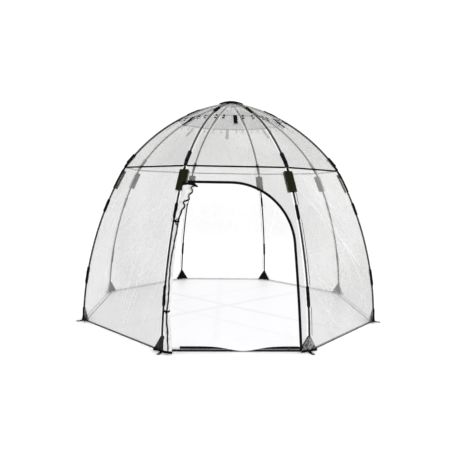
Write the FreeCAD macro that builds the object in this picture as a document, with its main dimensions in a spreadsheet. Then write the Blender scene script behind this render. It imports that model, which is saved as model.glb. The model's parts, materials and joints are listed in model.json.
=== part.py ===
import FreeCAD, Part
import math
import os

from FreeCAD import Placement, Rotation, Vector

# A walk-in dome greenhouse on a folding frame: eight hinged ribs on a crown hub,
# eight roof and eight wall panels of clear film, and a flat ground sheet.
#
# Millimetres. Z is up and zero is the underside of the ground sheet, on the dome's axis.
# Every rib and panel is built facing the front, which is -Y, and turned about Z to its place.
# On that front section "out" is the distance from the axis and "up" is the height.

DIMENSIONS = {
    # frame outline
    "foot_radius": 1488,
    "foot_height": 4,
    "ring_radius": 1093,
    "ring_height": 1447,
    "pivot_radius": 80,
    "pivot_height": 2115,
    "wall_arc_radius": 3040,
    "roof_arc_radius": 1766,
    # rods and their moulded ends
    "rod_diameter": 12,
    "hub_ferrule_radius": 8.5,
    "hub_ferrule_start": 20,
    "hub_ferrule_end": 75,
    "hub_eye_radius": 8,
    "hub_eye_thickness": 7,
    "hub_eye_bore": 5.2,
    "elbow_sleeve_radius": 17,
    "elbow_sleeve_start": 36,
    "elbow_sleeve_end": 140,
    "elbow_cheek_radius": 11,
    "elbow_cheek_thickness": 6.5,
    "elbow_slot": 10.4,
    "elbow_pin_diameter": 6,
    "elbow_pin_length": 27,
    "elbow_bore": 6.1,
    "tongue_radius": 10,
    "tongue_thickness": 9.6,
    "tongue_bore": 6.2,
    "tongue_ferrule_radius": 10,
    "tongue_ferrule_start": 26,
    "tongue_ferrule_end": 90,
    "foot_cup_radius": 9,
    "foot_cup_length": 40,
    # fabric on the ribs
    "wing_thickness": 4,
    "wing_standoff": 12,
    "pocket_top": 45,
    "pocket_bottom": 235,
    "pocket_wing": 40,
    "wrap_outer_radius": 15,
    "wrap_inner_radius": 6.4,
    "patch_wing": 78,
    "patch_tip_wing": 9,
    "patch_height": 122,
    "loop_width": 25,
    "loop_length": 48,
    "loop_thickness": 2,
    "eyelet_radius": 4.5,
    "eyelet_reach": 1534,
    # hub and cap
    "hub_core_radius": 66,
    "hub_core_depth": 30,
    "hub_core_below_pivot": 16,
    "lug_radius": 8,
    "lug_thickness": 4,
    "lug_gap": 7.8,
    "lug_bore": 4.9,
    "hub_pin_diameter": 4.8,
    "hub_pin_length": 18,
    "cap_radius": 62,
    "cap_top_radius": 26,
    "cap_height": 20.5,
    # film
    "film_thickness": 2,
    "film_gap_at_rib": 19,
    "film_gap_at_ring": 4,
    "roof_panel_start": 92,
    "wall_panel_foot": 6,
    "sheet_radius": 1465,
    # vent flaps
    "flap_thickness": 1.6,
    "flap_lift": 3,
    "flap_gap_at_rib": 32,
    "flap_start": 104,
    "flap_end": 535,
    # door in the front wall
    "door_left_foot": 540,
    "door_left_middle": 506,
    "door_left_head": 428,
    "door_sill": 38,
    "door_head": 1303,
    "door_corner_radius": 500,
    "door_right_head": 458,
    "door_right_foot": 503,
    "zip_width": 22,
    "zip_thickness": 3,
    "zip_lift": 0.5,
    "zip_left_end": 455,
    "slider_length": 30,
    "slider_width": 13,
    "slider_depth": 8,
    "slider_park": 425,
    # rolled-up door beside the front-left rib
    "roll_radius": 22,
    "roll_offset": 16,
    "roll_turn": 1.65,
    "roll_foot": 1375,
    "roll_head": 255,
    "roll_skirt_width": 76,
    "roll_skirt_thickness": 10,
    "roll_skirt_length": 146,
    "roll_skirt_lift": 11,
    "roll_skirt_shift": 20,
    "tie_thickness": 2.6,
    "tie_width": 30,
    "tie_clearance": 0.4,
}

GORES = 8
GORE_ANGLE = 360.0 / GORES
HALF_GORE = math.radians(GORE_ANGLE / 2)
WRAP_SPANS = ((350, 470), (1005, 1160))
TIE_DISTANCES = (500, 1190)
SKETCH_DEPTH = 700.0

doc = FreeCAD.newDocument("dome_greenhouse")
sheet = doc.addObject("Spreadsheet::Sheet", "dims")
for row, (alias, value) in enumerate(DIMENSIONS.items(), start=1):
    sheet.set(f"A{row}", alias)
    sheet.set(f"B{row}", str(value))
    sheet.setAlias(f"B{row}", alias)
doc.recompute()

nodes = []


def size(alias):
    """Read one driving dimension from the sheet."""
    return float(sheet.get(alias))


class RibArc:
    """A circular arc on the front section, bulging outwards, measured from its upper end."""

    def __init__(self, upper, lower, radius):
        chord_out = lower[0] - upper[0]
        chord_up = lower[1] - upper[1]
        chord = math.hypot(chord_out, chord_up)
        back = math.sqrt(radius**2 - chord**2 / 4)
        self.radius = radius
        self.centre_out = (upper[0] + lower[0]) / 2 + back * chord_up / chord
        self.centre_up = (upper[1] + lower[1]) / 2 - back * chord_out / chord
        self.top_angle = math.atan2(upper[1] - self.centre_up, upper[0] - self.centre_out)
        self.length = 2 * radius * math.asin(chord / (2 * radius))

    def angle(self, distance):
        """Angle above the horizontal at a distance down the arc, in radians."""
        return self.top_angle - distance / self.radius

    def point(self, distance, lift=0.0):
        """Point at a distance down the arc, moved outwards from it by lift."""
        angle = self.angle(distance)
        reach = self.radius + lift
        out = self.centre_out + reach * math.cos(angle)
        return Vector(0, -out, self.centre_up + reach * math.sin(angle))

    def distance_at_out(self, out):
        """Distance down the arc at which it is this far from the axis."""
        return (self.top_angle - math.acos((out - self.centre_out) / self.radius)) * self.radius

    def turning_frame(self, distance):
        """Placement at the arc's centre, local Z along +X, local X towards the arc."""
        angle = self.angle(distance)
        towards = Vector(0, -math.cos(angle), math.sin(angle))
        across = Vector(1, 0, 0)
        turn = Rotation(towards, across.cross(towards), across, "ZXY")
        return Placement(Vector(0, -self.centre_out, self.centre_up), turn)

    def rod_frame(self, distance, lift=0.0):
        """Placement on the arc, local Z down the arc, local X across, local Y outwards."""
        angle = self.angle(distance)
        along = Vector(0, -math.sin(angle), -math.cos(angle))
        across = Vector(1, 0, 0)
        turn = Rotation(across, along.cross(across), along, "ZXY")
        return Placement(self.point(distance, lift), turn)


def scaled_arc(upper, lower, arc):
    """The same curve half-way between two ribs, where the flat film lies nearer the axis."""
    shrink = math.cos(HALF_GORE)
    middle = arc.point(arc.length / 2)
    start = (upper[0] * shrink, upper[1])
    end = (lower[0] * shrink, lower[1])
    chord = math.hypot(end[0] - start[0], end[1] - start[1])
    bulge = abs(
        (end[0] - start[0]) * (middle.z - start[1]) - (end[1] - start[1]) * (-middle.y * shrink - start[0])
    ) / chord
    return RibArc(start, end, chord**2 / (8 * bulge) + bulge / 2)


def bind(piece, **cells):
    """Bind properties of a piece to cells of the sheet, or to sums of them."""
    for name, formula in cells.items():
        piece.setExpression(name, formula)
    return piece


def piece_of(kind, name, placement=None):
    """Add one document object and place it."""
    piece = doc.addObject(kind, name)
    if placement is not None:
        piece.Placement = placement
    return piece


def cut(name, base, tool):
    piece = doc.addObject("Part::Cut", name)
    piece.Base = base
    piece.Tool = tool
    return piece


def common(name, base, tool):
    piece = doc.addObject("Part::Common", name)
    piece.Base = base
    piece.Tool = tool
    return piece


def fuse(name, pieces):
    piece = doc.addObject("Part::MultiFuse", name)
    piece.Shapes = pieces
    piece.Refine = True
    return piece


def group(name, pieces):
    """Keep several separate solids together as one sub-part."""
    piece = doc.addObject("Part::Compound", name)
    piece.Links = pieces
    return piece


def sub_part(piece, label, turn=0.0):
    """Give a sub-part its label and turn it about the dome's axis to its place."""
    piece.Label = label
    piece.Placement = Placement(Vector(0, 0, 0), Rotation(Vector(0, 0, 1), turn))
    nodes.append(piece)


def cross_cylinder(name, centre, radius_cell, length_cell):
    """Cylinder lying across the rib, centred on a pivot."""
    piece = piece_of("Part::Cylinder", name)
    bind(piece, Radius=radius_cell, Height=length_cell)
    turn = Rotation(Vector(0, 1, 0), 90)
    half = Vector(-float(doc.dims.evalExpression(length_cell)) / 2, 0, 0)
    piece.Placement = Placement(centre + half, turn)
    return piece


def bar_on_arc(name, arc, start, radius_cell, length_cell):
    """Straight round piece along the rod."""
    piece = piece_of("Part::Cylinder", name, arc.rod_frame(start))
    return bind(piece, Radius=radius_cell, Height=length_cell)


def plate_on_arc(name, arc, start, length, width, thickness_cell, side=0.0):
    """Flat plate along the rod, its thickness across the rib and centred at side."""
    thickness = float(doc.dims.evalExpression(thickness_cell))
    frame = arc.rod_frame(start)
    corner = frame.multVec(Vector(-thickness / 2 + side, -width / 2, 0))
    piece = piece_of("Part::Box", name, Placement(corner, frame.Rotation))
    bind(piece, Length=thickness_cell)
    piece.Width = width
    piece.Height = length
    return piece


def rod_on_arc(name, arc, radius_cell, start, end, tube_cell="dims.rod_diameter / 2"):
    """Round rod bent to the arc, from one distance down it to another."""
    piece = piece_of("Part::Torus", name, arc.turning_frame(start))
    bind(piece, Radius1=radius_cell, Radius2=tube_cell)
    piece.Angle3 = math.degrees((end - start) / arc.radius)
    return piece


def tube_on_arc(name, arc, radius_cell, start, end, outer_cell, inner_cell):
    """Sleeve round the rod, from one distance down it to another."""
    margin = 2.0
    outer = rod_on_arc(name + "_outer", arc, radius_cell, start, end, outer_cell)
    inner = rod_on_arc(name + "_bore", arc, radius_cell, start - margin, end + margin, inner_cell)
    return cut(name, outer, inner)


def winged_wrap(name, arc, upper, lower):
    """Fabric folded over a rib on to both panels; upper and lower are (distance, wing)."""
    lift = size("wing_standoff")
    thickness = size("wing_thickness")
    along_wing = Vector(math.cos(HALF_GORE), -math.sin(HALF_GORE), 0)
    off_wing = Vector(math.sin(HALF_GORE), math.cos(HALF_GORE), 0)
    wires = []
    for distance, wing in (upper, lower):
        right = [
            Vector(0, (lift + thickness) / math.cos(HALF_GORE), 0),
            off_wing * (lift + thickness) + along_wing * wing,
            off_wing * lift + along_wing * wing,
            Vector(0, lift / math.cos(HALF_GORE), 0),
        ]
        left = [Vector(-corner.x, corner.y, 0) for corner in (right[2], right[1])]
        frame = arc.rod_frame(distance)
        outline = [frame.multVec(corner) for corner in right + left]
        wires.append(Part.makePolygon(outline + outline[:1]))
    piece = doc.addObject("Part::Feature", name)
    piece.Shape = Part.makeLoft(wires, True, True)
    return piece


def film_band(name, arc, lift, thickness, start, end, half_width):
    """Strip of film bent to the arc, as wide as half_width to each side."""
    outer = piece_of("Part::Cylinder", name + "_outer", arc.turning_frame(start))
    outer.Radius = arc.radius + lift + thickness
    outer.Angle = math.degrees((end - start) / arc.radius)
    inner = piece_of("Part::Cylinder", name + "_inner", arc.turning_frame(start))
    inner.Radius = arc.radius + lift
    for disc in (outer, inner):
        disc.Height = 2 * half_width
        disc.Placement.Base = disc.Placement.Base - Vector(half_width, 0, 0)
    return cut(name, outer, inner)


def gore_wedge(name, near, far, gap_alias):
    """Upright wedge between two neighbouring ribs, keeping a gap to each."""
    piece = piece_of("Part::Wedge", name, Placement(Vector(0, 0, 0), Rotation(Vector(0, 0, 1), 180)))
    slope = math.tan(HALF_GORE)
    gap = size(gap_alias) / math.cos(HALF_GORE)
    piece.Ymin, piece.Ymax = near, far
    piece.Xmax = near * slope - gap
    piece.Xmin = -(near * slope - gap)
    piece.X2max = far * slope - gap
    piece.X2min = -(far * slope - gap)
    piece.Zmin = piece.Z2min = 0
    piece.Zmax = piece.Z2max = size("pivot_height") + size("cap_height") * 2
    return piece


foot = (size("foot_radius"), size("foot_height"))
ring = (size("ring_radius"), size("ring_height"))
pivot = (size("pivot_radius"), size("pivot_height"))
wall_arc = RibArc(ring, foot, size("wall_arc_radius"))
roof_arc = RibArc(pivot, ring, size("roof_arc_radius"))
wall_film = scaled_arc(ring, foot, wall_arc)
roof_film = scaled_arc(pivot, ring, roof_arc)
ring_point = wall_arc.point(0)
pivot_point = roof_arc.point(0)


def upper_pole(index, turn):
    """Roof rod with the eye that hangs on the hub and the elbow housing at the ring."""
    name = f"upper_pole_{index}"
    eye_end = size("hub_ferrule_end")
    eye_start = size("hub_ferrule_start")
    eye = fuse(name + "_eye_solid", [
        cross_cylinder(name + "_eye_disc", pivot_point, "dims.hub_eye_radius", "dims.hub_eye_thickness"),
        plate_on_arc(name + "_eye_neck", roof_arc, 0, eye_start + 2, 12, "dims.hub_eye_thickness"),
        bar_on_arc(name + "_eye_ferrule", roof_arc, eye_start, "dims.hub_ferrule_radius",
                   "dims.hub_ferrule_end - dims.hub_ferrule_start"),
    ])
    bore = cross_cylinder(name + "_eye_bore", pivot_point, "dims.hub_eye_bore / 2", "dims.hub_eye_thickness * 2")
    eye = cut(name + "_eye", eye, bore)

    sleeve_top = roof_arc.length - size("elbow_sleeve_end")
    cheek_top = roof_arc.length - size("elbow_sleeve_start") - 4
    cheek_width = 2 * size("elbow_cheek_radius")
    side = (size("elbow_slot") + size("elbow_cheek_thickness")) / 2
    solids = [bar_on_arc(name + "_elbow_sleeve", roof_arc, sleeve_top, "dims.elbow_sleeve_radius",
                         "dims.elbow_sleeve_end - dims.elbow_sleeve_start")]
    for hand, shift in (("left", -side), ("right", side)):
        solids.append(plate_on_arc(f"{name}_cheek_{hand}", roof_arc, cheek_top,
                                   size("elbow_sleeve_start") + 4, cheek_width,
                                   "dims.elbow_cheek_thickness", shift))
        solids.append(cross_cylinder(f"{name}_cheek_end_{hand}", ring_point + Vector(shift, 0, 0),
                                     "dims.elbow_cheek_radius", "dims.elbow_cheek_thickness"))
    housing = fuse(name + "_elbow_solid", solids)
    bore = cross_cylinder(name + "_elbow_bore", ring_point, "dims.elbow_bore / 2", "dims.elbow_pin_length * 2")
    housing = cut(name + "_elbow", housing, bore)
    pin = cross_cylinder(name + "_pin", ring_point, "dims.elbow_pin_diameter / 2", "dims.elbow_pin_length")
    rod = rod_on_arc(name + "_rod", roof_arc, "dims.roof_arc_radius", eye_end, sleeve_top)
    sub_part(group(name, [rod, eye, housing, pin]), name, turn)


def lower_pole(index, turn):
    """Wall rod with the tongue that turns in the elbow and a cup at its foot."""
    name = f"lower_pole_{index}"
    start = size("tongue_ferrule_start")
    tongue = fuse(name + "_tongue_solid", [
        cross_cylinder(name + "_tongue_disc", ring_point, "dims.tongue_radius", "dims.tongue_thickness"),
        plate_on_arc(name + "_tongue_neck", wall_arc, 0, start + 4, 16, "dims.tongue_thickness"),
        bar_on_arc(name + "_tongue_ferrule", wall_arc, start, "dims.tongue_ferrule_radius",
                   "dims.tongue_ferrule_end - dims.tongue_ferrule_start"),
    ])
    bore = cross_cylinder(name + "_tongue_bore", ring_point, "dims.tongue_bore / 2", "dims.tongue_thickness * 2")
    tongue = cut(name + "_tongue", tongue, bore)
    cup_top = wall_arc.length - size("foot_cup_length")
    rod = rod_on_arc(name + "_rod", wall_arc, "dims.wall_arc_radius", size("tongue_ferrule_end"), cup_top)
    cup = bar_on_arc(name + "_cup", wall_arc, cup_top, "dims.foot_cup_radius", "dims.foot_cup_length")
    sub_part(group(name, [rod, tongue, cup]), name, turn)


def peg_loop(name):
    """Webbing tab on the ground outside the corner, with an eyelet for a peg."""
    reach = size("foot_radius") + (size("wing_standoff") + size("wing_thickness")) / math.cos(HALF_GORE)
    tab = piece_of("Part::Box", name + "_tab")
    bind(tab, Length="dims.loop_width", Width="dims.loop_length", Height="dims.loop_thickness")
    tab.Placement.Base = Vector(-size("loop_width") / 2, -reach - size("loop_length"), size("foot_height"))
    eyelet = piece_of("Part::Cylinder", name + "_eyelet")
    bind(eyelet, Radius="dims.eyelet_radius", Height="dims.loop_thickness * 3")
    eyelet.Placement.Base = Vector(0, -size("eyelet_reach"), size("foot_height") - size("loop_thickness"))
    return cut(name + "_loop", tab, eyelet)


def rib_sleeves(index, turn):
    """Fabric on one wall rod: pocket under the elbow, two wraps, corner patch and peg loop."""
    name = f"rib_sleeves_{index}"
    wing = size("pocket_wing")
    pieces = [winged_wrap(name + "_pocket", wall_arc, (size("pocket_top"), wing), (size("pocket_bottom"), wing))]
    for number, (start, end) in enumerate(WRAP_SPANS, start=1):
        pieces.append(tube_on_arc(f"{name}_wrap_{number}", wall_arc, "dims.wall_arc_radius", start, end,
                                  "dims.wrap_outer_radius", "dims.wrap_inner_radius"))
    floor_gap = 1.0
    patch_foot = wall_arc.length - floor_gap
    patch_top = wall_arc.length - size("patch_height")
    pieces.append(winged_wrap(name + "_patch", wall_arc, (patch_top, size("patch_tip_wing")),
                              (patch_foot, size("patch_wing"))))
    pieces.append(peg_loop(name))
    sub_part(group(name, pieces), name, turn)


def roof_panel(index, turn):
    """Clear film between two roof rods, from the hub to the ring."""
    name = f"roof_panel_{index}"
    shrink = math.cos(HALF_GORE)
    start = roof_film.distance_at_out(size("roof_panel_start"))
    end = roof_film.length - size("film_gap_at_ring") / 2
    widest = size("ring_radius") * shrink
    band = film_band(name + "_band", roof_film, -size("film_thickness"), size("film_thickness"), start, end, widest / 2)
    wedge = gore_wedge(name + "_wedge", size("roof_panel_start") - 30, widest + 50, "film_gap_at_rib")
    sub_part(common(name, band, wedge), name, turn)


def vent_flap(index, turn):
    """Weather flap over the vent at the top of one roof panel."""
    name = f"vent_flap_{index}"
    start = roof_film.distance_at_out(size("flap_start"))
    end = roof_film.distance_at_out(size("flap_end"))
    band = film_band(name + "_band", roof_film, size("flap_lift"), size("flap_thickness"), start, end,
                     size("flap_end") / 2)
    wedge = gore_wedge(name + "_wedge", size("flap_start") - 8, size("flap_end") + 60, "flap_gap_at_rib")
    sub_part(common(name, band, wedge), name, turn)


def wall_film_panel(name):
    """Clear film between two wall rods, from the ring to the ground."""
    start = size("film_gap_at_ring") / 2
    end = wall_film.length - (size("wall_panel_foot") - size("foot_height"))
    widest = size("foot_radius") * math.tan(HALF_GORE)
    band = film_band(name + "_band", wall_film, -size("film_thickness"), size("film_thickness"), start, end, widest)
    shrink = math.cos(HALF_GORE)
    wedge = gore_wedge(name + "_wedge", size("ring_radius") * shrink - 60, size("foot_radius") * shrink + 60,
                       "film_gap_at_rib")
    return common(name + "_film", band, wedge)


def door_outline(name):
    """D-shaped outline of the doorway, drawn on the XZ plane as seen from the front."""
    sketch = doc.addObject("Sketcher::SketchObject", name)
    sketch.Placement = Placement(Vector(0, 0, 0), Rotation(Vector(1, 0, 0), 90))
    sill = size("door_sill")
    head = size("door_head")
    radius = size("door_corner_radius")
    left_foot = Vector(-size("door_left_foot"), sill, 0)
    left_middle = Vector(-size("door_left_middle"), (sill + head) / 2, 0)
    left_head = Vector(-size("door_left_head"), head, 0)
    arc_start = Vector(size("door_right_head") - radius, head, 0)
    arc_end = Vector(size("door_right_head"), head - radius, 0)
    centre = Vector(arc_start.x, arc_end.y, 0)
    arc_middle = centre + Vector(1, 1, 0).normalize() * radius
    right_foot = Vector(size("door_right_foot"), sill, 0)
    sketch.addGeometry(Part.Arc(left_foot, left_middle, left_head))
    sketch.addGeometry(Part.LineSegment(left_head, arc_start))
    sketch.addGeometry(Part.Arc(arc_start, arc_middle, arc_end))
    sketch.addGeometry(Part.LineSegment(arc_end, right_foot))
    sketch.addGeometry(Part.LineSegment(right_foot, left_foot))
    return sketch


def through_front(name, outline):
    """Prism of an outline that runs out through the front wall."""
    prism = doc.addObject("Part::Extrusion", name)
    prism.Base = outline
    prism.DirMode = "Custom"
    prism.Dir = Vector(0, -1, 0)
    prism.LengthFwd = SKETCH_DEPTH + size("ring_radius")
    prism.Solid = True
    return prism


def offset_outline(name, outline, amount):
    """The same outline, larger or smaller all round."""
    grown = doc.addObject("Part::Offset2D", name)
    grown.Source = outline
    grown.Value = amount
    grown.Join = 2
    return grown


def front_wall(outline):
    """Front wall panel with the doorway cut through it."""
    panel = cut("wall_panel_1", wall_film_panel("wall_panel_1"), through_front("doorway", outline))
    sub_part(panel, "wall_panel_1")


def door_zip(outline):
    """Zip tape round the top, right side and sill of the doorway."""
    half = size("zip_width") / 2
    outside = through_front("zip_outside", offset_outline("zip_outer_line", outline, half))
    inside = through_front("zip_inside", offset_outline("zip_inner_line", outline, -half))
    shell = film_band("zip_shell", wall_film, size("zip_lift"), size("zip_thickness"), 2, wall_film.length - 8,
                      size("foot_radius") * math.tan(HALF_GORE))
    tape = common("zip_ring", shell, cut("zip_frame", outside, inside))
    sewn_side = piece_of("Part::Box", "zip_sewn_side")
    sewn_side.Length = 400
    sewn_side.Width = 1000
    sewn_side.Height = size("ring_height")
    sewn_side.Placement.Base = Vector(-400 - size("zip_left_end") + 10, -1700, -10)
    sub_part(cut("door_zip", tape, sewn_side), "door_zip")


def zip_slider():
    """Slider and pull tab, parked at the right end of the sill."""
    front = -wall_film.point(wall_film.length - size("door_sill")).y + size("zip_lift") + size("zip_thickness") + 1
    body = piece_of("Part::Box", "slider_body")
    bind(body, Length="dims.slider_length", Width="dims.slider_depth", Height="dims.slider_width")
    body.Placement.Base = Vector(size("slider_park") - size("slider_length"), -front - size("slider_depth"),
                                 size("door_sill") - size("slider_width") / 2)
    tab = piece_of("Part::Box", "slider_tab")
    tab.Length, tab.Width, tab.Height = 10, 2.5, 26
    tab.Placement.Base = Vector(size("slider_park") - size("slider_length") / 2 - 5,
                                -front - size("slider_depth") - 1.5, size("door_sill") - 24)
    sub_part(fuse("zip_slider", [body, tab]), "zip_slider")


def door_roll():
    """Door film rolled up and hanging beside the front-left rib, with the two ties round it."""
    turn = -GORE_ANGLE / 2 + size("roll_turn")
    lift = size("roll_offset")
    roll_arc = RibArc((ring[0] + lift, ring[1]), (foot[0] + lift, foot[1]), wall_arc.radius)
    roll = rod_on_arc("rolled_film", roll_arc, "dims.wall_arc_radius", size("roll_head"), size("roll_foot"),
                      "dims.roll_radius")
    half = size("tie_width") / 2
    ties = []
    for number, distance in enumerate(TIE_DISTANCES, start=1):
        ties.append(tube_on_arc(f"door_tie_{number}", roll_arc, "dims.wall_arc_radius", distance - half,
                                distance + half, "dims.roll_radius + dims.tie_thickness",
                                "dims.roll_radius + dims.tie_clearance"))
    skirt = piece_of("Part::Box", "roll_skirt", roll_arc.rod_frame(size("roll_foot") - 14))
    bind(skirt, Length="dims.roll_skirt_width", Width="dims.roll_skirt_thickness", Height="dims.roll_skirt_length")
    corner = Vector(size("roll_skirt_shift") - size("roll_skirt_width") / 2, size("roll_skirt_lift"), 0)
    skirt.Placement.Base = skirt.Placement.multVec(corner)
    sub_part(group("roll_group", [fuse("roll_bundle", [roll, skirt])]), "door_roll", turn)
    sub_part(group("tie_group", ties), "door_ties", turn)


def hub():
    """Crown hub with eight forked lugs, its pins and the cap over it."""
    depth_below = size("hub_core_below_pivot")
    core = piece_of("Part::Cylinder", "hub_core")
    bind(core, Radius="dims.hub_core_radius", Height="dims.hub_core_depth")
    core.Placement.Base = Vector(0, 0, size("pivot_height") - depth_below)
    solids = [core]
    bores = []
    pins = []
    root = size("hub_core_radius") - 4
    side = (size("lug_gap") + size("lug_thickness")) / 2
    for index in range(GORES):
        turn = Placement(Vector(0, 0, 0), Rotation(Vector(0, 0, 1), (index + 0.5) * GORE_ANGLE))
        parts = []
        for hand, shift in (("left", -side), ("right", side)):
            lug = piece_of("Part::Box", f"lug_{hand}_{index + 1}")
            bind(lug, Length="dims.lug_thickness", Height="dims.lug_radius * 2")
            lug.Width = size("pivot_radius") - root
            lug.Placement.Base = Vector(shift - size("lug_thickness") / 2, -size("pivot_radius"),
                                        size("pivot_height") - size("lug_radius"))
            ear = cross_cylinder(f"ear_{hand}_{index + 1}", pivot_point + Vector(shift, 0, 0),
                                 "dims.lug_radius", "dims.lug_thickness")
            parts += [lug, ear]
        bore = cross_cylinder(f"lug_bore_{index + 1}", pivot_point, "dims.lug_bore / 2", "dims.hub_pin_length * 1.5")
        pin = cross_cylinder(f"hub_pin_{index + 1}", pivot_point, "dims.hub_pin_diameter / 2", "dims.hub_pin_length")
        for piece in parts + [bore, pin]:
            piece.Placement = turn.multiply(piece.Placement)
        solids += parts
        bores.append(bore)
        pins.append(pin)
    sub_part(cut("hub_body", fuse("hub_solid", solids), fuse("hub_bores", bores)), "hub_body")
    sub_part(group("hub_pin_group", pins), "hub_pins")
    cap = piece_of("Part::Cone", "cap_cone")
    bind(cap, Radius1="dims.cap_radius", Radius2="dims.cap_top_radius", Height="dims.cap_height")
    cap.Placement.Base = Vector(0, 0, size("pivot_height") + size("hub_core_depth") - depth_below + 0.5)
    sub_part(group("cap_group", [cap]), "crown_cap")


def ground_sheet():
    """Flat octagonal sheet that the dome stands on."""
    slab = piece_of("Part::Prism", "sheet_slab")
    slab.Polygon = GORES
    bind(slab, Circumradius="dims.sheet_radius", Height="dims.film_thickness")
    sub_part(group("sheet_group", [slab]), "ground_sheet", GORE_ANGLE / 2)


for gore in range(GORES):
    rib_turn = (gore + 0.5) * GORE_ANGLE
    upper_pole(gore + 1, rib_turn)
    lower_pole(gore + 1, rib_turn)
    rib_sleeves(gore + 1, rib_turn)
    roof_panel(gore + 1, gore * GORE_ANGLE)
    vent_flap(gore + 1, gore * GORE_ANGLE)
    if gore > 0:
        sub_part(wall_film_panel(f"wall_panel_{gore + 1}"), f"wall_panel_{gore + 1}", gore * GORE_ANGLE)

door_line = door_outline("door_line")
front_wall(door_line)
door_zip(door_line)
zip_slider()
door_roll()
hub()
ground_sheet()
doc.recompute()

for item in doc.Objects:
    if "Invalid" in item.State or "Error" in item.State:
        raise RuntimeError(f"{item.Label} failed: {item.State}")
for item in nodes:
    if item.Shape.isNull() or not item.Shape.isValid():
        raise RuntimeError(f"{item.Label} has no valid shape")

os.makedirs("parts", exist_ok=True)
for item in nodes:
    item.Shape.exportStep(f"parts/{item.Label}.step")
    print(item.Label, len(item.Shape.Solids), round(item.Shape.Volume / 1000, 1))
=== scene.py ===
"""Looks of the dome greenhouse: clear film, cloth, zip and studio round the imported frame."""

import json
import logging
import math
import random
from dataclasses import dataclass, field
from enum import Enum
from typing import Any, Callable, Iterable, Optional, Sequence

import bpy
import numpy as np
from mathutils import Matrix, Vector, geometry, noise


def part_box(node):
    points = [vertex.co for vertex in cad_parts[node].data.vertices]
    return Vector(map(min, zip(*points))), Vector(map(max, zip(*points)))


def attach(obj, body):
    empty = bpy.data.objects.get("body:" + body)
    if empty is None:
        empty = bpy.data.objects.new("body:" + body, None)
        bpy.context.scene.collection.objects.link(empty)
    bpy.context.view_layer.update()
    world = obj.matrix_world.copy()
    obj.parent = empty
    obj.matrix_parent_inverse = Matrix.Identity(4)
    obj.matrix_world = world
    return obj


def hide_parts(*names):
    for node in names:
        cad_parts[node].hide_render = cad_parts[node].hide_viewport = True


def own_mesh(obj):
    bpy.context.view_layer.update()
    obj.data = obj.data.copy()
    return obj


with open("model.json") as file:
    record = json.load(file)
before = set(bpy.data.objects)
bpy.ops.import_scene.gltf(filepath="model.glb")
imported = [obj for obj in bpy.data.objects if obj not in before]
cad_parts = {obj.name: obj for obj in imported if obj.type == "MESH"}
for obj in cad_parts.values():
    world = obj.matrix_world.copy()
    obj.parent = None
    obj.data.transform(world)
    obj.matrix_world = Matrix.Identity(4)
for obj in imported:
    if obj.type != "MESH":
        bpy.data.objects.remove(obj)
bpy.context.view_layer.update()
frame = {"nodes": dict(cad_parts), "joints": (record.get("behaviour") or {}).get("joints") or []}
LOG = logging.getLogger("dome_greenhouse")

UP = Vector((0, 0, 1))
GORES = 8
GORE_TURN = math.tau / GORES
HALF_GORE = GORE_TURN / 2
SHRINK = math.cos(HALF_GORE)
ROOF_KEEP = 0.42
WALL_KEEP = 0.33

Piece = bpy.types.Object
Node = bpy.types.Node
Socket = bpy.types.NodeSocket
Pair = tuple[float, float]
Triple = tuple[float, float, float]
Lift = Callable[[float, float], float]


# ---------------------------------------------------------------- shape of the dome


def joint_place(name: str) -> Vector:
    """Place of a hinge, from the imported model."""
    return Vector(next(j["pos_m"] for j in frame["joints"] if j["name"] == name))


def section_point(place: Vector) -> Pair:
    """Distance from the axis and height of a place."""
    return math.hypot(place.x, place.y), place.z


class RibArc:
    """A circular arc on a section through the axis, bulging outwards, measured from its upper end."""

    def __init__(self, upper: Pair, lower: Pair, radius: float) -> None:
        """Find the centre and the span of the arc.

        Args:
            upper: distance from the axis and height of the upper end.
            lower: the same for the lower end.
            radius: radius of the arc.
        """
        out, up = lower[0] - upper[0], lower[1] - upper[1]
        chord = math.hypot(out, up)
        back = math.sqrt(radius**2 - chord**2 / 4)
        self.radius = radius
        self.centre_out = (upper[0] + lower[0]) / 2 + back * up / chord
        self.centre_up = (upper[1] + lower[1]) / 2 - back * out / chord
        self.top_angle = math.atan2(upper[1] - self.centre_up, upper[0] - self.centre_out)
        self.length = 2 * radius * math.asin(chord / (2 * radius))

    def angle(self, distance: float) -> float:
        """Angle above the horizontal at a distance down the arc."""
        return self.top_angle - distance / self.radius

    def point(self, distance: float, lift: float = 0.0) -> Pair:
        """Distance from the axis and height at a distance down the arc, moved outwards by lift.

        Args:
            distance: distance down the arc.
            lift: how far it is moved outwards.

        Returns:
            Distance from the axis, and height.
        """
        angle = self.angle(distance)
        reach = self.radius + lift
        return self.centre_out + reach * math.cos(angle), self.centre_up + reach * math.sin(angle)

    def at_height(self, height: float) -> float:
        """Distance down the arc at which it has this height."""
        return (self.top_angle - math.asin((height - self.centre_up) / self.radius)) * self.radius

    def at_out(self, out: float) -> float:
        """Distance down the arc at which it is this far from the axis."""
        return (self.top_angle - math.acos((out - self.centre_out) / self.radius)) * self.radius

    def flat_between_ribs(self, upper: Pair, lower: Pair) -> "RibArc":
        """The same curve half-way between two ribs, where the film lies nearer the axis.

        Args:
            upper: upper end on the rib.
            lower: lower end on the rib.

        Returns:
            The arc that the middle of a film panel follows.
        """
        middle = self.point(self.length / 2)
        start, end = (upper[0] * SHRINK, upper[1]), (lower[0] * SHRINK, lower[1])
        out, up = end[0] - start[0], end[1] - start[1]
        chord = math.hypot(out, up)
        bulge = abs(out * (middle[1] - start[1]) - up * (middle[0] * SHRINK - start[0])) / chord
        return RibArc(start, end, chord**2 / (8 * bulge) + bulge / 2)


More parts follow.
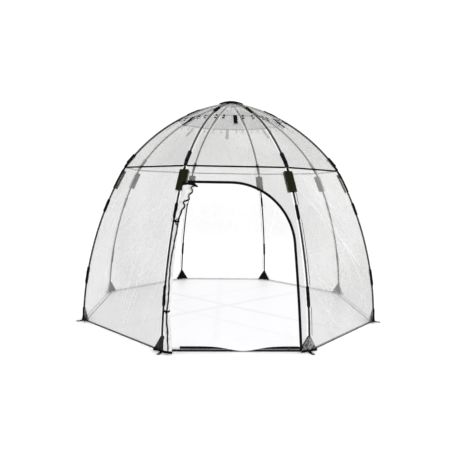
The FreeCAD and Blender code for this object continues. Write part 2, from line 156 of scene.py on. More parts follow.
@dataclass(frozen=True)
class Strip:
    """A surface that follows an arc, flat across it, at one turn about the axis."""

    arc: RibArc
    turn: float

    def place(self, across: float, out: float, up: float) -> Vector:
        """Point given by its distance across, distance out and height."""
        sine, cosine = math.sin(self.turn), math.cos(self.turn)
        return Vector((across * cosine + out * sine, across * sine - out * cosine, up))

    def point(self, distance: float, across: float = 0.0, lift: float = 0.0) -> Vector:
        """Point on the surface, or lifted off it."""
        out, up = self.arc.point(distance, lift)
        return self.place(across, out, up)


PIVOT = section_point(joint_place("upper_rib_1_fold"))
RING = section_point(joint_place("lower_rib_1_fold"))
FOOT = (1.488, 0.004)
WALL_RADIUS = 3.040
ROOF_RADIUS = 1.766
WALL_ARC = RibArc(RING, FOOT, WALL_RADIUS)
ROOF_ARC = RibArc(PIVOT, RING, ROOF_RADIUS)
WALL_FILM = WALL_ARC.flat_between_ribs(RING, FOOT)
ROOF_FILM = ROOF_ARC.flat_between_ribs(PIVOT, RING)


def rib_turn(index: int) -> float:
    """Turn of rib 1 to 8 about the axis."""
    return (index - 0.5) * GORE_TURN


def gore_turn(index: int) -> float:
    """Turn of gore 1 to 8 about the axis."""
    return (index - 1) * GORE_TURN


# ---------------------------------------------------------------- mesh helpers


def new_mesh(name: str, points: Sequence[Vector], faces: Sequence[Sequence[int]]) -> Piece:
    """Make a smooth mesh object.

    Args:
        name: name of the piece.
        points: its vertices.
        faces: lists of vertex numbers.

    Returns:
        The new object, in the scene.
    """
    mesh = bpy.data.meshes.new(name)
    mesh.from_pydata([tuple(p) for p in points], [], [list(f) for f in faces])
    mesh.polygons.foreach_set("use_smooth", [True] * len(mesh.polygons))
    mesh.update()
    piece = bpy.data.objects.new(name, mesh)
    bpy.context.scene.collection.objects.link(piece)
    return piece


def grid_faces(rows: int, columns: int, start: int = 0, closed: bool = False) -> list[list[int]]:
    """Quads of a grid of vertices, joined round if closed.

    Args:
        rows: rows of vertices.
        columns: vertices in a row.
        start: number of the first vertex.
        closed: whether the last column joins the first.

    Returns:
        Vertex numbers of each quad.
    """
    faces = []
    for row in range(rows - 1):
        for column in range(columns if closed else columns - 1):
            following = (column + 1) % columns
            a, b = start + row * columns + column, start + row * columns + following
            faces.append([a, b, b + columns, a + columns])
    return faces


def thicken(piece: Piece, thickness: float, offset: float = 0.0) -> None:
    """Give a surface a thickness, with its mesh made final.

    Args:
        piece: the surface.
        thickness: thickness to give it.
        offset: side that it grows to, from -1 to 1.
    """
    solid = piece.modifiers.new("thickness", "SOLIDIFY")
    solid.thickness = thickness
    solid.offset = offset
    solid.use_even_offset = True
    settle(piece)


def settle(piece: Piece) -> None:
    """Apply the modifiers of a piece to its mesh.

    Args:
        piece: the piece.
    """
    evaluated = piece.evaluated_get(bpy.context.evaluated_depsgraph_get())
    mesh = bpy.data.meshes.new_from_object(evaluated)
    piece.modifiers.clear()
    piece.data = mesh


def float_attribute(piece: Piece, name: str, values: Sequence[float]) -> None:
    """Store one value for each vertex."""
    attribute = piece.data.attributes.new(name, "FLOAT", "POINT")
    attribute.data.foreach_set("value", np.array(values, np.float32))


def strip_mesh(name: str, strip: Strip, distances: Sequence[float], acrosses: Callable[[float], Sequence[float]],
               lift: Lift) -> Piece:
    """Surface on a strip, one row of vertices at each distance.

    Args:
        name: name of the piece.
        strip: surface that it lies on.
        distances: distances down the arc.
        acrosses: positions across at a distance.
        lift: height off the strip at a distance and a position across.

    Returns:
        The new object.
    """
    points, columns = [], 0
    for distance in distances:
        row = acrosses(distance)
        columns = len(row)
        points += [strip.point(distance, across, lift(distance, across)) for across in row]
    return new_mesh(name, points, grid_faces(len(distances), columns))


def spread(low: float, high: float, count: int) -> list[float]:
    """Evenly spaced values from low to high."""
    return [float(v) for v in np.linspace(low, high, count)]


def frames_along(path: Sequence[Vector], up: Vector) -> list[tuple[Vector, Vector]]:
    """Two directions square to a path at each of its points, the first nearest to up.

    Args:
        path: points of the path.
        up: direction that the first one keeps near to.

    Returns:
        The two directions at each point.
    """
    found = []
    for number in range(len(path)):
        before, after = path[max(number - 1, 0)], path[min(number + 1, len(path) - 1)]
        along = (after - before).normalized()
        side = along.cross(up)
        side = side.normalized() if side.length > 1e-6 else along.orthogonal().normalized()
        found.append((side.cross(along).normalized(), side))
    return found


def loft(name: str, path: Sequence[Vector], up: Vector, section: Callable[[int, float], Pair],
         sides: int, capped: bool = True) -> Piece:
    """Closed skin round a path.

    Args:
        name: name of the piece.
        path: points that it follows.
        up: direction that the section's second axis keeps near to.
        section: side and up offsets at a path point and an angle.
        sides: vertices round the section.
        capped: whether its ends are closed.

    Returns:
        The new object.
    """
    points: list[Vector] = []
    for number, (top, side) in enumerate(frames_along(path, up)):
        for step in range(sides):
            across, rise = section(number, math.tau * step / sides)
            points.append(path[number] + side * across + top * rise)
    faces = grid_faces(len(path), sides, closed=True)
    if capped:
        faces.append(list(range(sides))[::-1])
        faces.append([(len(path) - 1) * sides + step for step in range(sides)])
    return new_mesh(name, points, faces)


def tube(name: str, path: Sequence[Vector], radius: float, up: Vector = UP,
         sides: int = 10) -> Piece:
    """Round tube along a path."""
    return loft(name, path, up, lambda _, a: (radius * math.cos(a), radius * math.sin(a)), sides)


def ribbon(name: str, path: Sequence[Vector], up: Vector, width: float, thickness: float) -> Piece:
    """Flat webbing along a path, its face turned to up, with rounded edges.

    Args:
        name: name of the piece.
        path: points of its middle line.
        up: direction that its face is turned to.
        width: width.
        thickness: thickness.

    Returns:
        The new object.
    """
    half, deep, power = width / 2, thickness / 2, 0.35

    def section(_: int, angle: float) -> Pair:
        """Rounded flat outline."""
        cosine, sine = math.cos(angle), math.sin(angle)
        return (half * math.copysign(abs(cosine) ** power, cosine), deep * math.copysign(abs(sine) ** power, sine))

    return loft(name, path, up, section, 20)


def join(name: str, pieces: Sequence[Piece]) -> Piece:
    """Join several meshes into one piece.

    Args:
        name: name of the piece.
        pieces: the meshes, which are removed.

    Returns:
        The new object.
    """
    points, faces, start = [], [], 0
    for piece in pieces:
        mesh = piece.data
        points += [piece.matrix_world @ v.co for v in mesh.vertices]
        faces += [[start + v for v in p.vertices] for p in mesh.polygons]
        start += len(mesh.vertices)
        bpy.data.objects.remove(piece)
    return new_mesh(name, points, faces)


# ---------------------------------------------------------------- shared effects


class NodeDesk:
    """Adds nodes to one node tree."""

    tree: bpy.types.NodeTree

    def node(self, kind: str, **settings: Any) -> Node:
        """Add a node and set its properties.

        Args:
            kind: type of the node.
            **settings: its properties.

        Returns:
            The new node.
        """
        made = self.tree.nodes.new(kind)
        for name, value in settings.items():
            setattr(made, name, value)
        return made

    def link(self, start: Socket, end: Socket) -> None:
        """Join two sockets."""
        self.tree.links.new(start, end)

    def feed(self, socket: Socket, value: Any) -> None:
        """Link a socket to another, or set its value.

        Args:
            socket: the input.
            value: a socket or a plain value.
        """
        if isinstance(value, Socket):
            self.link(value, socket)
        else:
            socket.default_value = value

    def math(self, operation: str, first: Any, second: Any = 0.0) -> Socket:
        """Add a math node.

        Args:
            operation: what it does.
            first: first socket or number.
            second: second socket or number.

        Returns:
            Its output.
        """
        made = self.node("ShaderNodeMath", operation=operation)
        self.feed(made.inputs[0], first)
        self.feed(made.inputs[1], second)
        return made.outputs[0]

    def ramp(self, value: Any, low: float, high: float, start: float = 0.0, end: float = 1.0) -> Socket:
        """Map a value smoothly from one range to another.

        Args:
            value: the value.
            low: low end of its range.
            high: high end of its range.
            start: result at the low end.
            end: result at the high end.

        Returns:
            The mapped value.
        """
        made = self.node("ShaderNodeMapRange", interpolation_type="SMOOTHSTEP")
        for label, number in (("From Min", low), ("From Max", high), ("To Min", start), ("To Max", end)):
            made.inputs[label].default_value = number
        self.feed(made.inputs["Value"], value)
        return made.outputs["Result"]

    def noise(self, vector: Any, scale: Any, detail: float = 3.0, distortion: float = 0.0) -> Socket:
        """Add a noise texture.

        Args:
            vector: coordinates.
            scale: scale.
            detail: octaves.
            distortion: how much it is warped.

        Returns:
            The texture, from 0 to 1.
        """
        made = self.node("ShaderNodeTexNoise")
        self.feed(made.inputs["Vector"], vector)
        self.feed(made.inputs["Scale"], scale)
        made.inputs["Detail"].default_value = detail
        made.inputs["Distortion"].default_value = distortion
        return made.outputs["Fac"]

    def place(self) -> Socket:
        """Coordinates that stay with the piece."""
        return self.node("ShaderNodeTexCoord").outputs["Object"]


@dataclass
class Effect(NodeDesk):
    """A shader node group under construction."""

    tree: bpy.types.ShaderNodeTree
    source: Node
    result: Node

    @classmethod
    def start(cls, name: str, inputs: dict[str, float], outputs: Iterable[str]) -> "Effect":
        """Make an empty group with float sockets.

        Args:
            name: name of the effect.
            inputs: name and first value of each input.
            outputs: names of the outputs.

        Returns:
            The effect, ready for its nodes.
        """
        tree = bpy.data.node_groups.new(name, "ShaderNodeTree")
        for label, value in inputs.items():
            tree.interface.new_socket(label, in_out="INPUT", socket_type="NodeSocketFloat").default_value = value
        for label in outputs:
            tree.interface.new_socket(label, in_out="OUTPUT", socket_type="NodeSocketFloat")
        return cls(tree, tree.nodes.new("NodeGroupInput"), tree.nodes.new("NodeGroupOutput"))

    def given(self, label: str) -> Socket:
        """One of the values that the group is given."""
        return self.source.outputs[label]

    def give(self, label: str, value: Socket) -> None:
        """Put a value out of the group."""
        self.link(value, self.result.inputs[label])


def crease_effect() -> bpy.types.ShaderNodeTree:
    """Thin crossing crease lines and soft ripples, as in film that was stored folded.

    Returns:
        The node group.
    """
    effect = Effect.start("film creases", {"Scale": 3.0, "Sharpness": 0.03}, ("Height", "Lines", "Haze"))
    place = effect.place()
    lines = None
    for factor, warp in ((1.0, 0.6), (2.3, 1.0)):
        scale = effect.math("MULTIPLY", effect.given("Scale"), factor)
        wander = effect.noise(place, scale, 1.5, warp)
        near = effect.math("ABSOLUTE", effect.math("SUBTRACT", wander, 0.5))
        share = effect.math("DIVIDE", near, effect.given("Sharpness"))
        line = effect.math("SUBTRACT", 1.0, effect.math("MINIMUM", share, 1.0))
        lines = line if lines is None else effect.math("MAXIMUM", lines, effect.math("MULTIPLY", line, 0.6))
    ripple = effect.noise(place, effect.math("MULTIPLY", effect.given("Scale"), 5.0), 4.0, 0.4)
    haze = effect.noise(place, effect.math("MULTIPLY", effect.given("Scale"), 0.5), 5.0, 0.2)
    effect.give("Height", effect.math("ADD", effect.math("MULTIPLY", lines, 0.5), ripple))
    effect.give("Lines", effect.math("POWER", lines, 2.0))
    effect.give("Haze", effect.ramp(haze, 0.35, 0.7))
    return effect.tree


def weave_effect() -> bpy.types.ShaderNodeTree:
    """Over-and-under threads of woven cloth.

    Returns:
        The node group.
    """
    effect = Effect.start("woven threads", {"Threads": 900.0, "Unevenness": 0.4}, ("Height", "Tone"))
    place = effect.node("ShaderNodeSeparateXYZ")
    effect.link(effect.place(), place.inputs[0])
    level = effect.math("ADD", place.outputs["X"], place.outputs["Y"])
    wide = effect.math("SINE", effect.math("MULTIPLY", level, effect.given("Threads")))
    high = effect.math("SINE", effect.math("MULTIPLY", place.outputs["Z"], effect.given("Threads")))
    height = effect.math("ABSOLUTE", effect.math("MULTIPLY", wide, high))
    slub = effect.noise(effect.place(), 60.0, 4.0)
    uneven = effect.math("MULTIPLY", effect.math("SUBTRACT", slub, 0.5), effect.given("Unevenness"))
    effect.give("Height", height)
    effect.give("Tone", effect.math("ADD", effect.math("MULTIPLY", height, 0.5), effect.math("ADD", uneven, 0.5)))
    return effect.tree


def dust_effect() -> bpy.types.ShaderNodeTree:
    """Pale dust and scuffs, more on faces that look up.

    Returns:
        The node group.
    """
    effect = Effect.start("dust and scuffs", {"Amount": 0.2, "Scale": 25.0}, ("Mask",))
    specks = effect.noise(effect.place(), effect.given("Scale"), 8.0, 0.5)
    facing = effect.node("ShaderNodeSeparateXYZ")
    effect.link(effect.node("ShaderNodeNewGeometry").outputs["Normal"], facing.inputs[0])
    upward = effect.ramp(facing.outputs["Z"], -0.2, 1.0, 0.4, 1.0)
    mask = effect.math("MULTIPLY", effect.ramp(specks, 0.45, 0.75), upward)
    effect.give("Mask", effect.math("MULTIPLY", mask, effect.given("Amount")))
    return effect.tree


EFFECTS = {"creases": crease_effect(), "weave": weave_effect(), "dust": dust_effect()}


class Coat(NodeDesk):
    """A material being built: its node tree, its Principled shader and the effects placed in it."""

    def __init__(self, name: str, roughness: float) -> None:
        """Make a material with one Principled shader.

        Args:
            name: name of the material.
            roughness: plain roughness.
        """
        self.material = bpy.data.materials.new(name)
        self.material.use_nodes = True
        self.tree = self.material.node_tree
        self.shader = self.tree.nodes["Principled BSDF"]
        self.shader.inputs["Roughness"].default_value = roughness

    def effect(self, kind: str, **values: float) -> Node:
        """Place a shared effect with its own values.

        Args:
            kind: which effect.
            **values: values of its inputs.

        Returns:
            The placed group.
        """
        placed = self.node("ShaderNodeGroup", node_tree=EFFECTS[kind])
        for label, value in values.items():
            placed.inputs[label].default_value = value
        return placed

    def tint(self, mask: Any, low: Sequence[float], high: Sequence[float]) -> None:
        """Base colour between two colours by a mask.

        Args:
            mask: mask from 0 to 1.
            low: colour at 0.
            high: colour at 1.
        """
        mix = self.node("ShaderNodeMix", data_type="RGBA")
        self.feed(mix.inputs[0], mask)
        mix.inputs[6].default_value = (*low, 1)
        mix.inputs[7].default_value = (*high, 1)
        self.link(mix.outputs[2], self.shader.inputs["Base Color"])

    def bump(self, height: Any, strength: float, distance: float) -> None:
        """Surface relief from a height.

        Args:
            height: height to read.
            strength: strength from 0 to 1.
            distance: depth in metres.
        """
        made = self.node("ShaderNodeBump")
        made.inputs["Strength"].default_value = strength
        made.inputs["Distance"].default_value = distance
        self.feed(made.inputs["Height"], height)
        self.link(made.outputs["Normal"], self.shader.inputs["Normal"])

    def rough(self, mask: Any, low: float, high: float) -> None:
        """Roughness between two values by a mask."""
        self.link(self.ramp(mask, 0.0, 1.0, low, high), self.shader.inputs["Roughness"])

    def set(self, **values: Any) -> None:
        """Set plain values on the shader, with underscores for spaces."""
        for label, value in values.items():
            self.shader.inputs[label.replace("_", " ")].default_value = value


# ---------------------------------------------------------------- finishes


@dataclass(frozen=True)
class FilmFinish:
    """Milky film, painted grey as shade on its outer face and left pale inside, denser edge-on and easy for light
    to pass, with fold lines painted lighter as highlights and, in some finishes, darker as shade.
    """

    name: str
    lightest: Triple = (0.93, 0.93, 0.925)
    # The darkest grey is the colour of full painted shade; the outer and inner shares below paint each face toward
    # it as shade.
    painted_shade_grey: Triple = (0.30, 0.30, 0.292)
    outer_painted_shade: float = 0.92
    inner_painted_shade: float = 0.10
    light_share: float = 0.35
    alpha: float = 0.31
    edge_alpha: float = 0.20
    most_alpha: float = 0.72
    crease_alpha: float = 0.08
    # Crease lines are painted lighter by this share as highlights; a share below zero paints them darker as shade.
    crease_painted_light: float = 0.28
    haze_alpha: float = 0.07
    crease_scale: float = 2.2
    fine_crease_share: float = 0.35
    cloud: float = 0.16
    roughness: float = 0.22
    relief: float = 0.003

    def build(self) -> bpy.types.Material:
        """Make the material.

        Returns:
            The new material.
        """
        coat = Coat(self.name, self.roughness)
        creases = coat.effect("creases", Scale=self.crease_scale, Sharpness=0.02)
        folds = coat.node("ShaderNodeAttribute", attribute_name="fold_line")
        lines = coat.math("ADD", coat.math("MULTIPLY", creases.outputs["Lines"], self.fine_crease_share),
                          folds.outputs["Fac"])
        edge = coat.node("ShaderNodeLayerWeight")
        edge.inputs["Blend"].default_value = 0.5
        turned = edge.outputs["Facing"]
        seen = coat.node("ShaderNodeLightPath").outputs["Is Camera Ray"]
        behind = coat.node("ShaderNodeNewGeometry").outputs["Backfacing"]
        # Painted shade by side: the outer face is painted grey and the inner face nearly pale, as light falls on
        # them; only camera rays see this shade.
        grey = coat.ramp(behind, 0.0, 1.0, self.inner_painted_shade, self.outer_painted_shade)
        grey = coat.math("MULTIPLY", grey, seen)
        # Crease lines painted lighter as highlights, or darker as painted shade when the share is below zero.
        grey = coat.math("SUBTRACT", grey, coat.math("MULTIPLY", lines, self.crease_painted_light))
        cloud = coat.math("MULTIPLY", coat.math("SUBTRACT", creases.outputs["Haze"], 0.5), self.cloud)
        grey = coat.math("ADD", grey, cloud)
        clamp = coat.node("ShaderNodeClamp")
        coat.link(grey, clamp.inputs["Value"])
        coat.tint(clamp.outputs["Result"], self.lightest, self.painted_shade_grey)
        coat.rough(creases.outputs["Haze"], self.roughness, self.roughness + 0.2)
        coat.bump(creases.outputs["Height"], 0.30, self.relief)
        alpha = coat.math("MULTIPLY", turned, self.edge_alpha)
        for mask, amount in ((lines, self.crease_alpha), (creases.outputs["Haze"], self.haze_alpha)):
            alpha = coat.math("ADD", alpha, coat.math("MULTIPLY", mask, amount))
        alpha = coat.math("MINIMUM", coat.math("ADD", alpha, self.alpha), self.most_alpha)
        alpha = coat.math("MULTIPLY", alpha, coat.ramp(seen, 0.0, 1.0, self.light_share, 1.0))
        depth = coat.node("ShaderNodeAttribute", attribute_name="layer_depth")
        coat.link(coat.math("MAXIMUM", alpha, depth.outputs["Fac"]), coat.shader.inputs["Alpha"])
        coat.set(IOR=1.45, Specular_IOR_Level=0.35)
        return coat.material


@dataclass(frozen=True)
class ClothFinish:
    """Woven cloth, webbing or tape, with painted highlights on the ridges of its crumples where asked."""

    name: str
    dark: Triple
    light: Triple
    threads: float = 900.0
    roughness: float = 0.82
    relief: float = 0.0006
    dust: float = 0.10
    gloss: float = 0.0
    # Strength of painted highlights on crumple ridges.
    crumple: float = 0.0

    def build(self) -> bpy.types.Material:
        """Make the material.

        Returns:
            The new material.
        """
        coat = Coat(self.name, self.roughness)
        weave = coat.effect("weave", Threads=self.threads, Unevenness=0.5)
        dust = coat.effect("dust", Amount=self.dust, Scale=30.0)
        tone = coat.math("ADD", weave.outputs["Tone"], dust.outputs["Mask"])
        # Painted highlights: the cloth stays dark except on crumple ridges, which are painted light.
        if self.crumple:
            folds = coat.effect("creases", Scale=26.0, Sharpness=0.10)
            shine = coat.ramp(folds.outputs["Height"], 0.45, 0.95, 0.0, self.crumple)
            tone = coat.math("MULTIPLY", tone, shine)
        coat.tint(tone, self.dark, self.light)
        coat.rough(weave.outputs["Tone"], self.roughness, min(1.0, self.roughness + 0.1))
        coat.bump(weave.outputs["Height"], 0.6, self.relief)
        coat.set(Specular_IOR_Level=self.gloss)
        return coat.material


@dataclass(frozen=True)
class HardFinish:
    """Moulded plastic, glass-fibre rod or metal."""

    name: str
    dark: Triple
    light: Triple
    roughness: float
    grain: float = 220.0
    relief: float = 0.0003
    metallic: float = 0.0
    dust: float = 0.2
    gloss: float = 0.25

    def build(self) -> bpy.types.Material:
        """Make the material.

        Returns:
            The new material.
        """
        coat = Coat(self.name, self.roughness)
        grain = coat.noise(coat.place(), self.grain, 6.0)
        dust = coat.effect("dust", Amount=self.dust, Scale=18.0)
        tone = coat.math("ADD", coat.math("MULTIPLY", grain, 0.5), dust.outputs["Mask"])
        coat.tint(tone, self.dark, self.light)
        coat.rough(tone, self.roughness, self.roughness + 0.2)
        coat.bump(grain, 0.4, self.relief)
        coat.set(Metallic=self.metallic, Specular_IOR_Level=self.gloss)
        return coat.material


@dataclass(frozen=True)
class NetFinish:
    """Fine insect net, open between its threads."""

    name: str
    threads: float = 1100.0
    cover: float = 0.50
    open_part: float = 0.35
    dark: Triple = (0.12, 0.12, 0.12)
    light: Triple = (0.30, 0.30, 0.30)

    def build(self) -> bpy.types.Material:
        """Make the material.

        Returns:
            The new material.
        """
        coat = Coat(self.name, 0.8)
        weave = coat.effect("weave", Threads=self.threads, Unevenness=0.2)
        coat.tint(weave.outputs["Tone"], self.dark, self.light)
        coat.bump(weave.outputs["Height"], 0.5, 0.0004)
        open_share = coat.ramp(weave.outputs["Height"], 0.0, 1.0, self.cover, self.cover * self.open_part)
        coat.link(open_share, coat.shader.inputs["Alpha"])
        return coat.material


@dataclass(frozen=True)
class GroundFinish:
    """White ground sheet, painted darker as shade along its soft fold marks."""

    name: str
    white: Triple = (0.835, 0.835, 0.85)
    # Colour of the painted shade along the folds; the crease share below sets how much of the fine crease lines
    # gets it.
    fold: Triple = (0.68, 0.67, 0.73)
    crease_share: float = 0.08
    roughness: Pair = (0.38, 0.55)

    def build(self) -> bpy.types.Material:
        """Make the material.

        Returns:
            The new material.
        """
        coat = Coat(self.name, 0.42)
        creases = coat.effect("creases", Scale=1.1, Sharpness=0.012)
        folds = coat.node("ShaderNodeAttribute", attribute_name="fold_line")
        lines = coat.math("MAXIMUM", coat.math("MULTIPLY", creases.outputs["Lines"], self.crease_share),
                          folds.outputs["Fac"])
        # Painted shade: the sheet is darkened toward the fold colour along its folds and crease lines.
        coat.tint(lines, self.white, self.fold)
        coat.rough(creases.outputs["Haze"], *self.roughness)
        coat.bump(creases.outputs["Height"], 0.3, 0.003)
        return coat.material


def grey(tone: float) -> Triple:
    """Neutral colour of one tone."""
    return tone, tone, tone


class Finish(Enum):
    """The finishes of the greenhouse."""

    # Wall, roof and flap films: grey painted as shade on the outer face, crease lines painted lighter as
    # highlights.
    WALL_FILM = FilmFinish("clear wall film")
    ROOF_FILM = FilmFinish("clear roof film", outer_painted_shade=1.0, alpha=0.37, crease_painted_light=0.12, crease_scale=2.8)
    FLAP_FILM = FilmFinish("vent flap film", outer_painted_shade=1.0, alpha=0.20, crease_alpha=0.16, crease_scale=7.0)
    # The rolled film is painted grey as shade on both faces, its streaks darker as painted shade.
    ROLL_FILM = FilmFinish("rolled door film", outer_painted_shade=0.34, inner_painted_shade=0.34, alpha=0.62,
                           most_alpha=0.92, crease_alpha=0.3, crease_painted_light=-0.8, crease_scale=14.0)
    # Sleeve film: painted grey as shade on both faces, crease lines a little darker as painted shade.
    WELT_FILM = FilmFinish("rod sleeve film", outer_painted_shade=0.3, inner_painted_shade=0.3, alpha=0.02, edge_alpha=0.16,
                           crease_alpha=0.10, crease_painted_light=-0.2, haze_alpha=0.02, crease_scale=12.0)
    OLIVE_CLOTH = ClothFinish("olive pocket cloth", (0.003, 0.0045, 0.001), (0.018, 0.021, 0.010))
    BLACK_CLOTH = ClothFinish("black sleeve cloth", grey(0.001), grey(0.009))
    # Front-right corner patch: dark cloth with painted highlights on its crumples.
    HIGHLIGHT_PAINTED_CLOTH = ClothFinish("corner cloth with painted highlights", (0.016, 0.016, 0.017), (0.42, 0.42, 0.43), 700.0, 0.45,
                               relief=0.0015, crumple=1.0)
    # Front-left corner patch: dark cloth with fainter painted highlights on its crumples.
    CREASED_CLOTH = ClothFinish("corner cloth with painted crease highlights", grey(0.003), grey(0.07), 700.0, 0.55,
                                relief=0.0012, crumple=1.0)
    GREY_CLOTH = ClothFinish("grey thread", grey(0.03), grey(0.09))
    WEBBING = ClothFinish("black webbing", grey(0.001), grey(0.010), 1500.0, relief=0.001)
    ZIP_TAPE = ClothFinish("black zip tape", grey(0.001), grey(0.008), 2000.0, 0.7)
    BAND = HardFinish("glossy threshold band", grey(0.002), grey(0.012), 0.22, dust=0.25)
    ZIP_COIL = HardFinish("zip coil", grey(0.001), grey(0.010), 0.35)
    ROD = HardFinish("black glass-fibre rod", grey(0.001), (0.006, 0.006, 0.007), 0.34, grain=400.0,
                     gloss=0.06)
    MOULDING = HardFinish("black moulded plastic", grey(0.002), (0.008, 0.008, 0.009), 0.5, gloss=0.10)
    STEEL = HardFinish("plain steel", (0.42, 0.42, 0.43), (0.62, 0.62, 0.63), 0.3, metallic=1.0, dust=0.05)
    PULL_METAL = HardFinish("painted zip pull", grey(0.004), grey(0.05), 0.35, metallic=0.5)
    NET = NetFinish("insect net")
    GROUND = GroundFinish("white ground sheet")


MATERIALS: dict[Finish, bpy.types.Material] = {}


def material(finish: Finish) -> bpy.types.Material:
    """The material of a finish, made the first time it is asked for.

    Args:
        finish: the finish.

    Returns:
        Its material.
    """
    if finish not in MATERIALS:
        MATERIALS[finish] = finish.value.build()
    return MATERIALS[finish]


@dataclass
class Fit:
    """Where a piece rides and what it stands for."""

    body: str
    slot: str
    replaces: Sequence[str] = ()
    squash_turn: Optional[float] = None
    keep: float = WALL_KEEP


def fit_piece(piece: Piece, finish: Finish, fit: Fit) -> Piece:
    """Dress a finished mesh and hang it on its body.

    Args:
        piece: the mesh, in place.
        finish: its finish.
        fit: its body and what it replaces; the slot is not used, and a piece given a turn only gets a mesh of its
            own.

    Returns:
        The same piece.
    """
    piece.data.materials.clear()
    piece.data.materials.append(material(finish))
    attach(piece, fit.body)
    if fit.replaces:
        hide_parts(*fit.replaces)
    if fit.squash_turn is not None:
        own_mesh(piece)
    LOG.info("%s rides on %s in %s", piece.name, fit.body, finish.value.name)
    return piece


# ---------------------------------------------------------------- film panels


def smooth(value: float) -> float:
    """Ease a share from 0 to 1."""
    share = min(max(value, 0.0), 1.0)
    return share * share * (3 - 2 * share)


def near_line(x: float, y: float, start: Pair, end: Pair) -> float:
    """Distance of a point from a straight run.

    Args:
        x: first coordinate.
        y: second coordinate.
        start: start of the run.
        end: end of the run.

    Returns:
        The distance.
    """
    along_x, along_y = end[0] - start[0], end[1] - start[1]
    share = ((x - start[0]) * along_x + (y - start[1]) * along_y) / (along_x**2 + along_y**2)
    share = min(max(share, 0.0), 1.0)
    return math.hypot(x - start[0] - share * along_x, y - start[1] - share * along_y)


@dataclass(frozen=True)
class Crease:
    """One long crease across a panel, between two places given as distance down and position across."""

    start: Pair
    end: Pair
    height: float

    def share(self, distance: float, across: float, reach: float = 0.011) -> float:
        """How much of the crease is felt at a place."""
        return math.exp(-((near_line(distance, across, self.start, self.end) / reach) ** 2))


@dataclass
class FilmRelief:
    """Soft billows, fine ripples and long creases of one panel."""

    seed: int
    length: float
    width: float
    billow: float = 0.006
    ripple: float = 0.0012
    lean: float = 0.0
    count: int = 9
    creases: list[Crease] = field(default_factory=list)

    def __post_init__(self) -> None:
        """Place the long creases."""
        chance = random.Random(self.seed)
        for _ in range(self.count):
            down, across = chance.uniform(0.08, 0.9) * self.length, chance.uniform(-0.42, 0.42) * self.width
            turn = self.lean + chance.uniform(-0.45, 0.45)
            reach = chance.uniform(0.12, 0.42) * self.length
            step = (reach * math.cos(turn), reach * math.sin(turn))
            height = chance.choice((-1, 1)) * chance.uniform(0.0010, 0.0030)
            start, end = (down - step[0], across - step[1]), (down + step[0], across + step[1])
            self.creases.append(Crease(start, end, height))

    def lift(self, distance: float, across: float) -> float:
        """Height off the ideal surface.

        Args:
            distance: distance down the panel.
            across: position across.

        Returns:
            The height.
        """
        place = Vector((distance * 2.1, across * 2.6, self.seed * 3.7))
        fine = Vector((distance * 9, across * 14, self.seed * 1.9))
        rise = self.billow * noise.noise(place) + self.ripple * noise.noise(fine)
        return rise + sum(c.height * c.share(distance, across) for c in self.creases)

    def line(self, distance: float, across: float) -> float:
        """How strongly a crease marks the film at a place; the material paints these marks lighter as highlights.
        """
        marks = (c.share(distance, across, 0.010) * abs(c.height) / 0.003 for c in self.creases)
        return min(1.0, 0.75 * sum(marks))


@dataclass(frozen=True)
class Gore:
    """One of the eight panels between two ribs, on the roof or on the wall."""

    arc: RibArc
    index: int
    gap: float = 0.019
    held_edge: float = 0.05

    @property
    def strip(self) -> Strip:
        """Surface that the panel lies on."""
        return Strip(self.arc, gore_turn(self.index))

    def half(self, distance: float, gap: Optional[float] = None) -> float:
        """Half the panel's width at a distance down it."""
        edge = self.gap if gap is None else gap
        return self.arc.point(distance)[0] * math.tan(HALF_GORE) - edge / SHRINK

    def area(self, start: float, end: float, gap: Optional[float] = None) -> float:
        """Flat area between two distances.

        Args:
            start: upper distance.
            end: lower distance.
            gap: distance of the sides from the ribs.

        Returns:
            The area.
        """
        steps = spread(start, end, 60)
        widths = [2 * self.half(step, gap) for step in steps]
        return float(sum((a + b) / 2 for a, b in zip(widths, widths[1:])) * (steps[1] - steps[0]))

    def sheet(self, name: str, start: float, end: float, relief: FilmRelief, size: tuple[int, int],
              lift: float = 0.0, gap: Optional[float] = None) -> Piece:
        """Film from one distance to another, dented and creased away from its edges.

        Args:
            name: name of the piece.
            start: distance down of its upper edge.
            end: distance down of its lower edge.
            relief: its billows and creases.
            size: rows and columns of vertices.
            lift: height of its edges off the surface.
            gap: distance of its sides from the ribs.

        Returns:
            The panel, with its crease lines stored for its material.
        """
        rows = spread(start, end, size[0])

        def acrosses(distance: float) -> list[float]:
            """Positions across one row."""
            half = self.half(distance, gap)
            return spread(-half, half, size[1])

        def height(distance: float, across: float) -> float:
            """Lift of one vertex.

            Args:
                distance: distance down the panel.
                across: position across.

            Returns:
                The lift.
            """
            inset = min(self.half(distance, gap) - abs(across), distance - start, end - distance)
            hold = smooth(inset / self.held_edge)
            return lift + hold * relief.lift(distance, across)

        piece = strip_mesh(name, self.strip, rows, acrosses, height)
        float_attribute(piece, "fold_line", [relief.line(d, a) for d in rows for a in acrosses(d)])
        return piece

    def tape(self, name: str, distance: float, width: float, thickness: float, lift: float, gap: float,
             wave: float = 0.0) -> Piece:
        """Tape that runs straight across the panel from rib to rib.

        Args:
            name: name of the piece.
            distance: distance down the panel.
            width: width.
            thickness: thickness.
            lift: height off the film.
            gap: distance of its ends from the ribs.
            wave: height of its waves.

        Returns:
            The new object.
        """
        half = self.half(distance, gap)
        acrosses = spread(-half, half, 34)
        seed = Vector((self.index * 2.3, distance * 7, 0))
        path = [self.strip.point(distance, a, lift + wave * noise.noise(seed + Vector((a * 6, 0, 0))))
                for a in acrosses]
        low, high = self.arc.point(distance), self.arc.point(distance, 0.1)
        up = self.strip.place(0, high[0] - low[0], high[1] - low[1]).normalized()
        return ribbon(name, path, up, width, thickness)


